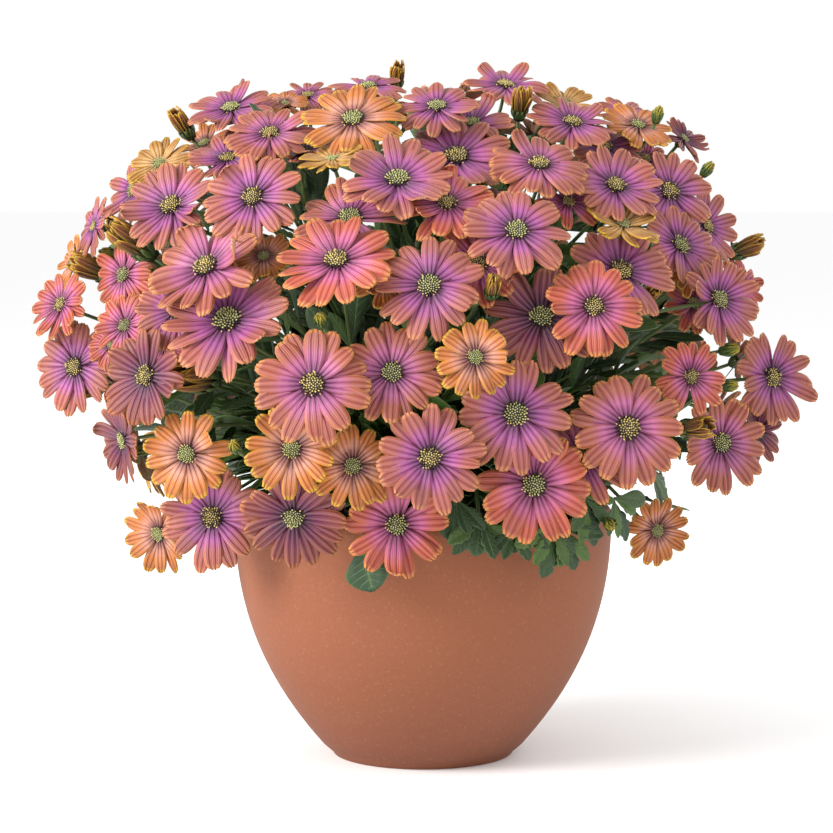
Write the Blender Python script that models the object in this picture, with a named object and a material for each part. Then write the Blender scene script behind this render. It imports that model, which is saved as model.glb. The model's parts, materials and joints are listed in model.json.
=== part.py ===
"""Osteospermum in a round terracotta pot, built in Blender 4.5.

Metres, +Z up, the front towards -Y. The origin is the middle of the pot's flat underside.
The pot and the soil are one object each. The plant is a fan of leafy sprays, and each spray
is one object: a main stem rooted in a hole in the soil, with its stalks, leaves, buds and blooms.
"""

import math
import random
from collections import namedtuple

import bmesh
import bpy
from mathutils import Vector
from mathutils.bvhtree import BVHTree

# Pot
POT_HEIGHT = 0.155
POT_RADIUS = 0.1172
FOOT_RADIUS = 0.0565
POT_SWELL = 2.4  # the power that rounds the wall out from the foot
WALL = 0.009
FLOOR = 0.012
FOOT_BEVEL = 0.0015
DRAIN_RADIUS = 0.005
DRAIN_RING = 0.024
DRAINS = 3
ROUND_STEPS = 30
CLEARANCE = 0.0004  # between solids that rest in one another

# Soil
SOIL_TOP = 0.143
SOIL_LUMP = 0.0012
HOLE_DEPTH = 0.022
HOLE_SIDES = 5

# Plant
SEED = 41
DOME_CENTRE = Vector((0.0, 0.0, 0.240))
DOME_ACROSS = 0.205
DOME_UP = 0.170
DOME_DOWN = 0.125
STEM_RADIUS = 0.0022
STEM_SIDES = 5
COLLAR = 0.003  # how far a stem stands straight above the soil
BEND_OUT = 1.1
BEND_SHARE = 0.45
STALK_RADIUS = 0.00115
STALK_SIDES = 3
STALK_STRETCHES = 2
DISC_SIDES = 5
SMALL_BLOOM = 0.0285
DISC_SHARE = 0.17
NOTCH_SHARE = 0.50
BLOOM_RISE = 0.0030
BLOOM_DROP = 0.0042
BLADE = 0.0012
HEAD_LENGTH = 2.0  # of a closed head, by its radius
HEAD_BEHIND = 0.35  # the share of a closed head that lies behind its middle
FURLED_WIDE = 0.42
BUD_WIDE = 0.55
VIEW_NEAR = 1.35
VIEW_FAR = 1.80
VIEW_STEP = 0.001
POT_MARGIN = 0.004

# The viewer from whose side the blooms on the front were placed
VIEWER = Vector((-0.004, -1.65, 0.355))
AIM = Vector((-0.004, 0.0, 0.210))
PICTURE_MIDDLE = 416.5
METRES_PER_PIXEL = 0.00062

Kind = namedtuple("Kind", "name colour petals cup")
MAUVE = Kind("mauve", (0.42, 0.13, 0.24), 8, 0.10)
ROSE = Kind("rose", (0.60, 0.16, 0.17), 8, 0.08)
CORAL = Kind("coral", (0.62, 0.15, 0.08), 8, 0.08)
ORANGE = Kind("orange", (0.72, 0.26, 0.07), 8, 0.10)
YELLOW = Kind("yellow", (0.78, 0.56, 0.10), 8, 0.12)
PLUM = Kind("plum", (0.22, 0.05, 0.13), 8, 0.12)
FURLED = Kind("furled", (0.35, 0.22, 0.07), 5, 0.0)
BUD = Kind("bud", (0.30, 0.33, 0.10), 4, 0.0)
GREEN = Kind("leaf", (0.06, 0.12, 0.03), 0, 0.0)
KINDS = (GREEN, MAUVE, ROSE, CORAL, ORANGE, YELLOW, PLUM, FURLED, BUD)

# One bloom as seen from the front: the picture's column and row of its disc, how wide it is in
# millimetres, how far it faces up and to the right, its kind, and how many layers back it sits.
Seen = namedtuple("Seen", "column row across up side kind layer")
SEEN = [
    Seen(231, 110, 53, 0.83, -0.15, MAUVE, 0),
    Seen(250, 119, 46, 0.80, 0.00, MAUVE, 1),
    Seen(270, 135, 53, 0.80, -0.05, ROSE, 0),
    Seen(185, 128, 24, 0.75, -0.50, FURLED, 1),
    Seen(205, 145, 38, 0.75, -0.30, ORANGE, 2),
    Seen(160, 165, 42, 0.60, -0.35, YELLOW, 0),
    Seen(228, 160, 48, 0.82, -0.15, MAUVE, 1),
    Seen(172, 207, 61, 0.55, -0.35, MAUVE, 0),
    Seen(253, 198, 58, 0.45, -0.20, MAUVE, 0),
    Seen(135, 190, 47, 0.35, -0.75, MAUVE, 1),
    Seen(96, 227, 38, 0.30, -0.85, MAUVE, 0),
    Seen(122, 230, 24, 0.50, -0.60, FURLED, 1),
    Seen(138, 245, 38, 0.55, -0.70, FURLED, 0),
    Seen(112, 255, 14, 0.30, -0.80, BUD, 0),
    Seen(98, 270, 34, 0.35, -0.85, FURLED, 0),
    Seen(75, 262, 36, 0.35, -0.85, ORANGE, 1),
    Seen(207, 268, 68, 0.60, -0.35, ROSE, 0),
    Seen(125, 275, 46, 0.20, -0.60, CORAL, 1),
    Seen(264, 258, 36, 0.70, -0.10, ORANGE, 1),
    Seen(178, 311, 50, 0.35, -0.30, MAUVE, 1),
    Seen(353, 121, 62, 0.75, -0.10, ORANGE, 0),
    Seen(368, 88, 48, 0.93, 0.00, MAUVE, 1),
    Seen(397, 80, 20, 0.90, 0.10, FURLED, 1),
    Seen(437, 108, 51, 0.82, 0.00, MAUVE, 0),
    Seen(285, 105, 30, 0.85, 0.00, ORANGE, 2),
    Seen(308, 97, 38, 0.85, 0.00, ROSE, 2),
    Seen(337, 262, 66, 0.70, -0.15, CORAL, 0),
    Seen(350, 219, 62, 0.75, -0.10, ROSE, 1),
    Seen(397, 181, 64, 0.75, 0.00, MAUVE, 0),
    Seen(447, 205, 56, 0.72, 0.05, CORAL, 0),
    Seen(456, 158, 68, 0.72, 0.05, MAUVE, 1),
    Seen(333, 161, 40, 0.92, -0.20, YELLOW, 1),
    Seen(300, 153, 48, 0.95, 0.00, PLUM, 2),
    Seen(429, 286, 61, 0.45, 0.00, MAUVE, 0),
    Seen(478, 264, 52, 0.40, 0.05, CORAL, 1),
    Seen(472, 125, 50, 0.85, 0.00, MAUVE, 2),
    Seen(505, 87, 54, 0.92, 0.10, MAUVE, 1),
    Seen(520, 108, 24, 0.85, 0.10, FURLED, 1),
    Seen(572, 124, 53, 0.80, 0.15, MAUVE, 0),
    Seen(564, 105, 40, 0.85, 0.10, YELLOW, 2),
    Seen(604, 149, 50, 0.78, 0.20, MAUVE, 1),
    Seen(637, 127, 46, 0.80, 0.30, ORANGE, 0),
    Seen(625, 115, 40, 0.85, 0.25, ROSE, 2),
    Seen(683, 140, 34, 0.60, 0.65, PLUM, 1),
    Seen(539, 166, 58, 0.80, 0.10, ROSE, 0),
    Seen(615, 187, 56, 0.70, 0.20, MAUVE, 0),
    Seen(669, 192, 55, 0.45, 0.30, MAUVE, 0),
    Seen(568, 203, 40, 0.60, 0.15, CORAL, 1),
    Seen(498, 212, 50, 0.85, 0.05, PLUM, 1),
    Seen(516, 232, 60, 0.60, 0.10, MAUVE, 0),
    Seen(593, 307, 56, 0.30, 0.15, CORAL, 0),
    Seen(620, 272, 63, 0.50, 0.25, MAUVE, 1),
    Seen(622, 226, 45, 0.80, 0.25, YELLOW, 0),
    Seen(679, 246, 54, 0.50, 0.50, MAUVE, 1),
    Seen(704, 226, 52, 0.40, 0.70, MAUVE, 1),
    Seen(492, 290, 20, 0.70, 0.10, FURLED, 1),
    Seen(541, 318, 64, 0.45, 0.10, PLUM, 1),
    Seen(645, 160, 36, 0.60, 0.30, CORAL, 2),
    Seen(718, 300, 53, 0.30, 0.50, MAUVE, 0),
    Seen(690, 272, 36, 0.50, 0.40, ORANGE, 1),
    Seen(649, 295, 22, 0.40, 0.30, FURLED, 1),
    Seen(692, 305, 40, 0.50, 0.40, CORAL, 1),
    Seen(740, 285, 38, 0.30, 0.70, CORAL, 2),
    Seen(742, 250, 26, 0.40, 0.80, FURLED, 1),
    Seen(62, 305, 44, 0.35, -0.60, CORAL, 0),
    Seen(76, 367, 57, 0.15, -0.45, MAUVE, 0),
    Seen(126, 326, 40, 0.30, -0.40, CORAL, 1),
    Seen(147, 376, 57, 0.15, -0.50, PLUM, 0),
    Seen(93, 388, 26, -0.10, -0.80, FURLED, 1),
    Seen(228, 321, 74, 0.55, -0.20, MAUVE, 0),
    Seen(200, 378, 40, 0.10, -0.70, FURLED, 1),
    Seen(125, 440, 50, -0.10, -0.85, PLUM, 0),
    Seen(188, 454, 53, 0.10, -0.30, ORANGE, 0),
    Seen(213, 517, 62, 0.10, -0.25, MAUVE, 1),
    Seen(160, 533, 48, -0.10, -0.55, ORANGE, 1),
    Seen(294, 516, 61, -0.35, -0.10, PLUM, 0),
    Seen(292, 449, 52, 0.20, -0.10, ORANGE, 0),
    Seen(353, 466, 48, 0.15, 0.00, ORANGE, 0),
    Seen(313, 385, 64, 0.30, -0.10, ROSE, 0),
    Seen(392, 373, 57, 0.25, 0.00, ROSE, 1),
    Seen(475, 358, 44, 0.30, 0.10, ORANGE, 0),
    Seen(430, 458, 60, 0.15, 0.00, MAUVE, 0),
    Seen(397, 524, 60, -0.10, 0.00, CORAL, 1),
    Seen(515, 414, 65, 0.20, 0.10, MAUVE, 1),
    Seen(534, 485, 64, 0.10, 0.10, CORAL, 0),
    Seen(583, 457, 57, 0.15, 0.15, ROSE, 1),
    Seen(627, 428, 65, 0.20, 0.20, ROSE, 0),
    Seen(690, 377, 44, 0.20, 0.35, CORAL, 0),
    Seen(771, 377, 58, 0.15, 0.55, MAUVE, 0),
    Seen(720, 443, 58, 0.10, 0.35, ROSE, 0),
    Seen(757, 432, 38, 0.10, 0.60, PLUM, 1),
    Seen(656, 530, 42, -0.10, 0.35, ORANGE, 0),
    Seen(385, 282, 36, 0.50, 0.00, ORANGE, 2),
    Seen(112, 345, 30, 0.30, -0.40, CORAL, 2),
    Seen(165, 345, 36, 0.30, -0.30, CORAL, 2),
    Seen(690, 428, 26, 0.10, 0.80, FURLED, 1),
    Seen(322, 322, 13, 0.60, -0.20, BUD, 0),
    Seen(236, 448, 13, 0.50, -0.20, BUD, 0),
    Seen(142, 451, 12, -0.10, -0.90, BUD, 0),
    Seen(297, 561, 13, -0.20, -0.10, BUD, 0),
    Seen(492, 549, 13, -0.20, 0.10, BUD, 0),
    Seen(609, 523, 13, -0.20, 0.20, BUD, 0),
    Seen(727, 350, 14, 0.20, 0.80, BUD, 0),
    Seen(727, 386, 12, 0.10, 0.85, BUD, 0),
    Seen(657, 117, 12, 0.90, 0.20, BUD, 0),
    Seen(706, 171, 12, 0.70, 0.50, BUD, 0),
]

# One leaf that hangs over the rim: the picture's column and row of its base and its tip, and its width.
Hanging = namedtuple("Hanging", "column row tip_column tip_row across")
HANGING = [
    Hanging(360, 541, 371, 592, 26),
    Hanging(552, 528, 545, 578, 15),
    Hanging(562, 530, 577, 570, 12),
    Hanging(480, 519, 476, 556, 14),
    Hanging(512, 527, 515, 553, 9),
    Hanging(456, 499, 451, 541, 18),
    Hanging(584, 497, 598, 546, 13),
    Hanging(612, 498, 631, 541, 12),
    Hanging(650, 469, 669, 488, 10),
]
HANG_RADIUS = 0.142
HANG_OUT = 0.004  # how much further out the tips hang
HANG_SHIFTS = (0.0, 0.006, 0.012, -0.005, 0.020, 0.030)
HANG_DROOP = 0.10
LEAF_HOLD = 0.004  # how far up the blade its branch reaches

LAYER_BACK = (0.0, 0.012, 0.026)
SETTLE_STEP = 0.002
SETTLE_TRIES = 24
POT_SAMPLES = 8  # places along each stretch that are tried against the pot
ROOM = 0.0011  # kept free round each bloom, stalk and leaf
BOWS = ((0.02, 0.0), (-0.02, 0.0), (0.0, 0.02), (0.0, -0.02), (0.035, 0.0), (-0.035, 0.0), (0.0, 0.035))
SHARES = (1.0, 0.88, 0.76, 0.64, 0.52, 0.40, 0.28, 0.16)
BLOOM_RADII = (0.024, 0.033)
FURLED_RADII = (0.011, 0.017)
BUD_RADIUS = 0.0065
BACK_TRIES = 420
BACK_SPACING = 0.040
BACK_KINDS = (MAUVE, MAUVE, ROSE, CORAL, ORANGE, YELLOW, PLUM, ROSE, CORAL, FURLED, BUD)
LEAVES_PER_SPRAY = 3
LEAF_LENGTHS = (0.042, 0.060)
LEAF_WIDTHS = (0.013, 0.019)
LEAF_DROOP = 0.16
LEAF_FOOT = 0.2  # the share of a leaf that may lie in its own spray
LEAF_TRIES = 40

# Rings of sprays: how many, how far out they root, and how far out and how high they fork
Ring = namedtuple("Ring", "count root fork height lean")
RINGS = (
    Ring(1, 0.000, 0.004, 0.300, 0.0),
    Ring(6, 0.024, 0.058, 0.268, 0.7),
    Ring(14, 0.052, 0.086, 0.204, 1.45),
)


class Bloom:
    """A flower head or bud: where its disc is, which way it faces, and what it looks like."""

    def __init__(self, place, facing, radius, kind, roll, retreat):
        self.place = place
        self.facing = facing.normalized()
        self.radius = radius
        self.kind = kind
        self.roll = roll
        self.retreat = retreat.normalized()
        self.spray = None
        self.stalk = []

    def axes(self):
        """Two directions across the bloom, turned by its roll."""
        side = self.facing.orthogonal().normalized()
        other = self.facing.cross(side)
        turned = side * math.cos(self.roll) + other * math.sin(self.roll)
        return turned, self.facing.cross(turned)

    def head_length(self):
        """How long a closed head is from its base to its tip."""
        return self.radius * HEAD_LENGTH

    def is_closed(self):
        return self.kind in (FURLED, BUD)

    def petals(self):
        """Small blooms have one petal fewer."""
        return self.kind.petals - (self.radius < SMALL_BLOOM)

    def neck(self):
        """Where the stalk ends behind the head."""
        behind = HEAD_BEHIND * self.head_length() if self.is_closed() else BLOOM_DROP
        return self.place - self.facing * behind


class Leaf:
    """A toothed blade from its base towards its tip, with the direction its upper face looks."""

    def __init__(self, base, tip, face, width, droop):
        self.base = base
        self.tip = tip
        self.width = width
        self.droop = droop
        along = (tip - base).normalized()
        self.side = along.cross(face).normalized()
        self.face = self.side.cross(along).normalized()
        self.spray = None


class Spray:
    """A leafy main stem with the blooms and leaves it carries."""

    def __init__(self, number, root, fork, heading):
        self.number = number
        self.heading = heading
        foot = Vector((root.x, root.y, SOIL_TOP - HOLE_DEPTH + CLEARANCE))
        collar = Vector((root.x, root.y, SOIL_TOP + COLLAR))
        rise = Vector((root.x * BEND_OUT, root.y * BEND_OUT, SOIL_TOP + BEND_SHARE * (fork.z - SOIL_TOP)))
        self.stem = [foot, collar, rise, fork]
        self.taken = []
        self.blooms = []
        self.leaves = []

    def point(self, share):
        """A point on the upper stem, from 0 at the bend to 1 at the fork."""
        return self.stem[2].lerp(self.stem[3], share)

    def direction(self):
        return (self.stem[3] - self.stem[2]).normalized()


def pot_radius(z):
    """Outer radius of the pot at a height."""
    rise = min(max(z / POT_HEIGHT, 0.0), 1.0)
    return FOOT_RADIUS + (POT_RADIUS - FOOT_RADIUS) * (1.0 - (1.0 - rise) ** POT_SWELL)


def view_ray(column, row):
    """Direction from the viewer through a pixel of the picture."""
    forward = AIM - VIEWER
    distance = forward.length
    forward.normalize()
    right = Vector((1.0, 0.0, 0.0))
    up = right.cross(forward)
    across = (column - PICTURE_MIDDLE) * METRES_PER_PIXEL
    rise = (PICTURE_MIDDLE - row) * METRES_PER_PIXEL
    return (forward * distance + right * across + up * rise).normalized()


def dome_value(place):
    """1 on the dome on which the front blooms sit, less inside it."""
    offset = place - DOME_CENTRE
    height = DOME_UP if offset.z > 0 else DOME_DOWN
    flat = math.hypot(offset.x, offset.y) / DOME_ACROSS
    return math.hypot(flat, offset.z / height)


def dome_normal(place):
    """Outward direction of the dome at a place."""
    offset = place - DOME_CENTRE
    height = DOME_UP if offset.z > 0 else DOME_DOWN
    flat = DOME_ACROSS**2
    return Vector((offset.x / flat, offset.y / flat, offset.z / height**2)).normalized()


def first_on_ray(ray, measure, limit):
    """Where a view ray first brings a measure down to a limit, or comes nearest to it."""
    best, best_value = None, math.inf
    reach = VIEW_NEAR
    while reach < VIEW_FAR:
        place = VIEWER + ray * reach
        value = measure(place)
        if value <= limit:
            return place
        if value < best_value:
            best, best_value = place, value
        reach += VIEW_STEP
    return best


def axis_distance(place):
    """How far a place is from the pot's axis."""
    return math.hypot(place.x, place.y)


def ring_tube(path, radii, sides):
    """Corners and faces of a closed tube of few sides along a path."""
    corners, faces = [], []
    across = (path[1] - path[0]).orthogonal().normalized()
    for i, place in enumerate(path):
        before = path[max(i - 1, 0)]
        after = path[min(i + 1, len(path) - 1)]
        along = (after - before).normalized()
        across = (across - along * across.dot(along)).normalized()
        other = along.cross(across)
        for k in range(sides):
            angle = 2 * math.pi * k / sides
            corners.append(place + (across * math.cos(angle) + other * math.sin(angle)) * radii[i])
    for i in range(len(path) - 1):
        for k in range(sides):
            a, b = i * sides + k, i * sides + (k + 1) % sides
            faces.append((a, b, b + sides, a + sides))
    faces.append(tuple(reversed(range(sides))))
    faces.append(tuple(range(len(corners) - sides, len(corners))))
    return corners, faces


def strip(low, high):
    """Triangles between two closed rings of corners with different counts, given in turn order."""
    if len(low) == len(high):
        turns = zip(low, low[1:] + low[:1], high[1:] + high[:1], high)
        return list(turns)
    faces = []
    i = j = 0
    while i < len(low) or j < len(high):
        here, there = low[i % len(low)], high[j % len(high)]
        if j * len(low) <= i * len(high) and j < len(high) or i == len(low):
            faces.append((here, high[(j + 1) % len(high)], there))
            j += 1
        else:
            faces.append((here, low[(i + 1) % len(low)], there))
            i += 1
    return faces


def end_ring(bloom):
    """Where the stalk meets the head: three corners round the facing axis."""
    across, other = bloom.axes()
    found = []
    for k in range(STALK_SIDES):
        angle = 2 * math.pi * k / STALK_SIDES
        flat = across * math.cos(angle) + other * math.sin(angle)
        found.append(bloom.neck() + flat * STALK_RADIUS * 1.5)
    return found


def stalk_shape(bloom, path):
    """Rings of corners of a stalk from its start to the head, the last one the head's end ring."""
    rings = [end_ring(bloom)]
    for i in range(len(path) - 2, -1, -1):
        along = (path[i + 1] - path[max(i - 1, 0)]).normalized()
        wide = STALK_RADIUS * (1.15 if i == 0 else 1.0)
        ring = []
        for corner in rings[0]:
            spoke = corner - path[i + 1]
            spoke = spoke - along * spoke.dot(along)
            ring.append(path[i] + spoke.normalized() * wide)
        rings.insert(0, ring)
    return rings


def open_head(bloom, room):
    """Corners of an open bloom, its rings of corner numbers from behind to the front."""
    across, other = bloom.axes()
    facing, radius = bloom.facing, bloom.radius + room
    petals = 5 if room else bloom.petals()
    draw = random.Random(round(bloom.roll * 1e6))
    rim, disc = [], []
    for k in range(3 * petals):
        petal, part = divmod(k, 3)
        shift = (-0.30, 0.27, 0.5)[part]
        reach = (draw.uniform(0.93, 1.0), draw.uniform(0.93, 1.0), NOTCH_SHARE)[part]
        rise = (0.0009, -0.0005, -0.0006)[part]
        if room:
            shift, reach, rise = (0.0, 0.33, 0.67)[part], 1.0, 0.0
        angle = 2 * math.pi * (petal + shift) / petals
        flat = across * math.cos(angle) + other * math.sin(angle)
        lift = bloom.kind.cup * radius * reach**2 + rise
        rim.append(bloom.place + flat * radius * reach + facing * lift)
    for k in range(DISC_SIDES):
        angle = 2 * math.pi * k / DISC_SIDES
        flat = across * math.cos(angle) + other * math.sin(angle)
        disc.append(bloom.place + flat * radius * DISC_SHARE + facing * (0.5 * BLOOM_RISE + room))
    return [rim, disc], bloom.place + facing * (BLOOM_RISE + room)


def closed_head(bloom, room):
    """Corners of a furled bloom or a bud: a pointed egg of few sides."""
    across, other = bloom.axes()
    sides = bloom.kind.petals
    length = bloom.head_length() + 2 * room
    thick = bloom.radius * (FURLED_WIDE if bloom.kind is FURLED else BUD_WIDE)
    start = bloom.place - bloom.facing * (HEAD_BEHIND * length)
    rings = []
    for share, wide in ((0.20, 0.80), (0.50, 1.0), (0.82, 0.55)):
        ring = []
        for k in range(sides):
            angle = 2 * math.pi * k / sides
            flat = across * math.cos(angle) + other * math.sin(angle)
            ring.append(start + bloom.facing * length * share + flat * (thick * wide + room))
        rings.append(ring)
    return rings, start + bloom.facing * length


def head_shape(bloom, room=0.0, path=None):
    """Corners and faces of a bloom or a bud, with its stalk where a path is given."""
    rings, tip = (closed_head if bloom.is_closed() else open_head)(bloom, room)
    if path:
        rings = stalk_shape(bloom, path) + rings
    else:
        behind = bloom.facing * room
        rings = [[corner - behind for corner in end_ring(bloom)]] + rings
    corners, numbers = [], []
    for ring in rings:
        numbers.append(list(range(len(corners), len(corners) + len(ring))))
        corners += ring
    faces = [tuple(reversed(numbers[0]))]
    for low, high in zip(numbers, numbers[1:]):
        faces += strip(low, high)
    corners.append(tip)
    last = numbers[-1]
    for k, number in enumerate(last):
        faces.append((number, last[(k + 1) % len(last)], len(corners) - 1))
    return corners, faces


def leaf_shape(leaf, room=0.0, first=0.0):
    """Corners and faces of a leaf: an arched blade with two teeth a side and a raised rib."""
    along = leaf.tip - leaf.base
    half = leaf.width / 2 + room
    outline = ((first, 0.16), (0.46, 0.96), (0.60, 0.66), (0.79, 0.72))
    edge = list(outline) + [(1.0, 0.0)] + [(share, -wide) for share, wide in reversed(outline)]

    def spot(share, wide, lift):
        sag = leaf.face * (-leaf.droop * along.length * share**2)
        return leaf.base + along * share + leaf.side * (wide * half) + sag + leaf.face * lift

    corners = [spot(share, wide, 0.0) for share, wide in edge]
    rim = len(corners)
    corners += [spot(0.48, 0.0, BLADE + room), spot(0.48, 0.0, -BLADE * 0.6 - room)]
    faces = []
    for k in range(rim):
        after = (k + 1) % rim
        faces.append((rim, after, k))
        faces.append((rim + 1, k, after))
    return corners, faces


class Space:
    """What has been placed so far, so that nothing crosses what another spray carries."""

    def __init__(self):
        self.things = []

    def add(self, shape, owner, name):
        corners, faces = shape
        middle = sum(corners, Vector()) / len(corners)
        reach = max((corner - middle).length for corner in corners)
        self.things.append((middle, reach, BVHTree.FromPolygons(corners, faces), owner, name))

    def own(self, name, owner):
        """Makes a named thing belong to an owner."""
        self.things = [each[:3] + (owner, name) if each[4] is name else each for each in self.things]

    def meets(self, shape, skip_owner=None, skip_name=None):
        """Whether a shape crosses any thing, apart from one owner's and one by name."""
        corners, faces = shape
        middle = sum(corners, Vector()) / len(corners)
        reach = max((corner - middle).length for corner in corners)
        tree = None
        for other, far, other_tree, owner, name in self.things:
            if name is not None and name is skip_name:
                continue
            if skip_owner is not None and owner is skip_owner:
                continue
            if (other - middle).length > far + reach:
                continue
            if tree is None:
                tree = BVHTree.FromPolygons(corners, faces)
            if tree.overlap(other_tree):
                return True
        return False


def facing_from(up, side):
    """A direction towards the front that looks up and aside as far as asked."""
    flat = 1.0 - up * up - side * side
    return Vector((side, -math.sqrt(max(flat, 0.01)), up)).normalized()


def front_blooms(draw):
    """The blooms seen from the front, in layers."""
    found = []
    for seen in sorted(SEEN, key=lambda each: each.layer):
        ray = view_ray(seen.column, seen.row)
        place = first_on_ray(ray, dome_value, 1.0) + ray * LAYER_BACK[seen.layer]
        facing = facing_from(seen.up, seen.side)
        roll = draw.uniform(0.0, 2 * math.pi)
        found.append(Bloom(place, facing, seen.across / 2000, seen.kind, roll, ray))
    return found


def back_blooms(draw, front):
    """Blooms on the sides and the back that the front view hides, spread evenly."""
    found = []
    golden = math.pi * (3.0 - math.sqrt(5.0))
    for i in range(BACK_TRIES):
        height = 1.0 - 1.62 * (i + 0.5) / BACK_TRIES
        around = golden * i
        flat = math.sqrt(1.0 - height * height)
        direction = Vector((flat * math.cos(around), flat * math.sin(around), height))
        if direction.y < 0.12:
            continue
        tall = DOME_UP if height > 0 else DOME_DOWN
        sized = Vector((direction.x * DOME_ACROSS, direction.y * DOME_ACROSS, direction.z * tall))
        place = DOME_CENTRE + sized * draw.uniform(0.95, 1.04)
        near = min((place - bloom.place).length for bloom in front + found)
        if near < BACK_SPACING:
            continue
        kind = draw.choice(BACK_KINDS)
        outward = dome_normal(place)
        tilt = Vector((draw.gauss(0, 0.22), draw.gauss(0, 0.22), 0.35 + draw.gauss(0, 0.18)))
        radius = draw.uniform(*BLOOM_RADII)
        if kind is BUD:
            radius = BUD_RADIUS
        if kind is FURLED:
            radius = draw.uniform(*FURLED_RADII)
        roll = draw.uniform(0.0, 2 * math.pi)
        found.append(Bloom(place, outward + tilt, radius, kind, roll, -outward))
    return found


def settle(blooms, space, keep_all):
    """Moves each bloom back until it clears the ones before it."""
    kept = []
    for bloom in blooms:
        for _ in range(SETTLE_TRIES):
            if not space.meets(head_shape(bloom, ROOM)):
                break
            bloom.place = bloom.place + bloom.retreat * SETTLE_STEP
        else:
            if not keep_all:
                continue
        space.add(head_shape(bloom, ROOM), None, bloom)
        kept.append(bloom)
    return kept


def plan_sprays(space):
    """The main stems, fanned out so that none crosses another."""
    sprays = []
    for ring in RINGS:
        for k in range(ring.count):
            around = 2 * math.pi * (k + 0.5) / ring.count
            flat = Vector((math.cos(around), math.sin(around), 0.0))
            root = flat * ring.root
            fork = flat * ring.fork + Vector((0.0, 0.0, ring.height))
            heading = flat * math.sin(ring.lean) + Vector((0.0, 0.0, math.cos(ring.lean)))
            spray = Spray(len(sprays) + 1, root, fork, heading)
            radii = [STEM_RADIUS + ROOM] * len(spray.stem)
            space.add(ring_tube(spray.stem, radii, STEM_SIDES), spray, None)
            sprays.append(spray)
    return sprays


def above_pot(path):
    """Whether a path keeps clear of the pot and the soil."""
    for before, after in zip(path, path[1:]):
        for k in range(POT_SAMPLES + 1):
            place = before.lerp(after, k / POT_SAMPLES)
            flat = math.hypot(place.x, place.y)
            if place.z < POT_HEIGHT + POT_MARGIN and flat < pot_radius(place.z) + POT_MARGIN:
                return False
    return True


def curve_points(start, start_pull, end_pull, end, count):
    """Points along a curve with a pull at each end."""
    points = []
    for i in range(count + 1):
        t = i / count
        s = 1.0 - t
        points.append(start * s**3 + start_pull * (3 * s * s * t) + end_pull * (3 * s * t * t) + end * t**3)
    return points


def stalk_paths(sprays, end, facing):
    """Possible stalks to an end that faces a direction, the most natural ones first."""
    outward = (end - DOME_CENTRE).normalized()
    aside = outward.cross(Vector((0.0, 0.0, 1.0))).normalized()
    across = outward.cross(aside)
    nearest = sorted(sprays, key=lambda spray: -outward.dot(spray.heading))[:6]
    bows = [Vector()] + [aside * x + across * z for x, z in BOWS]
    for bow in bows:
        for bend in (0.030, 0.018, 0.045, 0.010, 0.006):
            for spray in nearest:
                for share in SHARES:
                    start = spray.point(share)
                    gap = (end - start).length
                    for pull in (0.35, 0.15, 0.6):
                        leave = spray.direction() * 0.6 + Vector((0.0, 0.0, 0.4))
                        start_pull = start + leave * (gap * pull) + bow
                        end_pull = end - facing * bend + bow * 0.5
                        yield spray, share, curve_points(start, start_pull, end_pull, end, STALK_STRETCHES)


def find_stalk(sprays, space, end, facing, name):
    """The first path that clears all else, or all that other sprays carry."""
    for strict, room in ((True, ROOM), (False, ROOM), (False, 0.2 * ROOM)):
        for spray, share, path in stalk_paths(sprays, end, facing):
            if strict and share in spray.taken or not above_pot(path):
                continue
            own = None if strict else spray
            free = [path[0].lerp(path[1], 0.3 if strict else 0.0)] + path[1:]
            tube = ring_tube(free, [STALK_RADIUS + room] * len(free), STALK_SIDES)
            if space.meets(tube, own, name):
                continue
            if strict:
                root = ring_tube(path[:2], [STALK_RADIUS + room] * 2, STALK_SIDES)
                if space.meets(root, spray, name):
                    continue
            spray.taken.append(share)
            return spray, path
    return None, None


def grow_stalks(blooms, sprays, space):
    """Gives each bloom a stalk from a spray, and drops the few that no clear stalk can reach."""
    inner_first = sorted(blooms, key=lambda bloom: round(dome_value(bloom.place), 2))
    for bloom in inner_first:
        spray, path = find_stalk(sprays, space, bloom.neck(), bloom.facing, bloom)
        if spray is None:
            continue
        bloom.spray, bloom.stalk = spray, path
        spray.blooms.append(bloom)
        space.own(bloom, spray)
        space.add(ring_tube(path, [STALK_RADIUS + ROOM] * len(path), STALK_SIDES), spray, None)


def hanging_leaves(sprays, space):
    """Leaves over the rim at the front, each on its own short branch."""
    for hanging in HANGING:
        base_ray = view_ray(hanging.column, hanging.row)
        tip_ray = view_ray(hanging.tip_column, hanging.tip_row)
        base = first_on_ray(base_ray, axis_distance, HANG_RADIUS)
        tip = first_on_ray(tip_ray, axis_distance, HANG_RADIUS + HANG_OUT)
        outward = Vector((base.x, base.y, 0.0)).normalized()
        for out in HANG_SHIFTS:
            shift = outward * out
            leaf = Leaf(base + shift, tip + shift, outward, hanging.across / 1000, HANG_DROOP)
            shape = leaf_shape(leaf, ROOM)
            if space.meets(shape) or not above_pot(shape[0]):
                continue
            along = (leaf.tip - leaf.base).normalized()
            end = leaf.base + along * LEAF_HOLD
            facing = (along + outward * 0.8).normalized()
            spray, path = find_stalk(sprays, space, end, facing, None)
            if spray is None:
                continue
            leaf.spray, leaf.stalk = spray, path
            spray.leaves.append(leaf)
            space.add(shape, spray, leaf)
            space.add(ring_tube(path, [STALK_RADIUS + ROOM] * len(path), STALK_SIDES), spray, None)
            break


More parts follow.
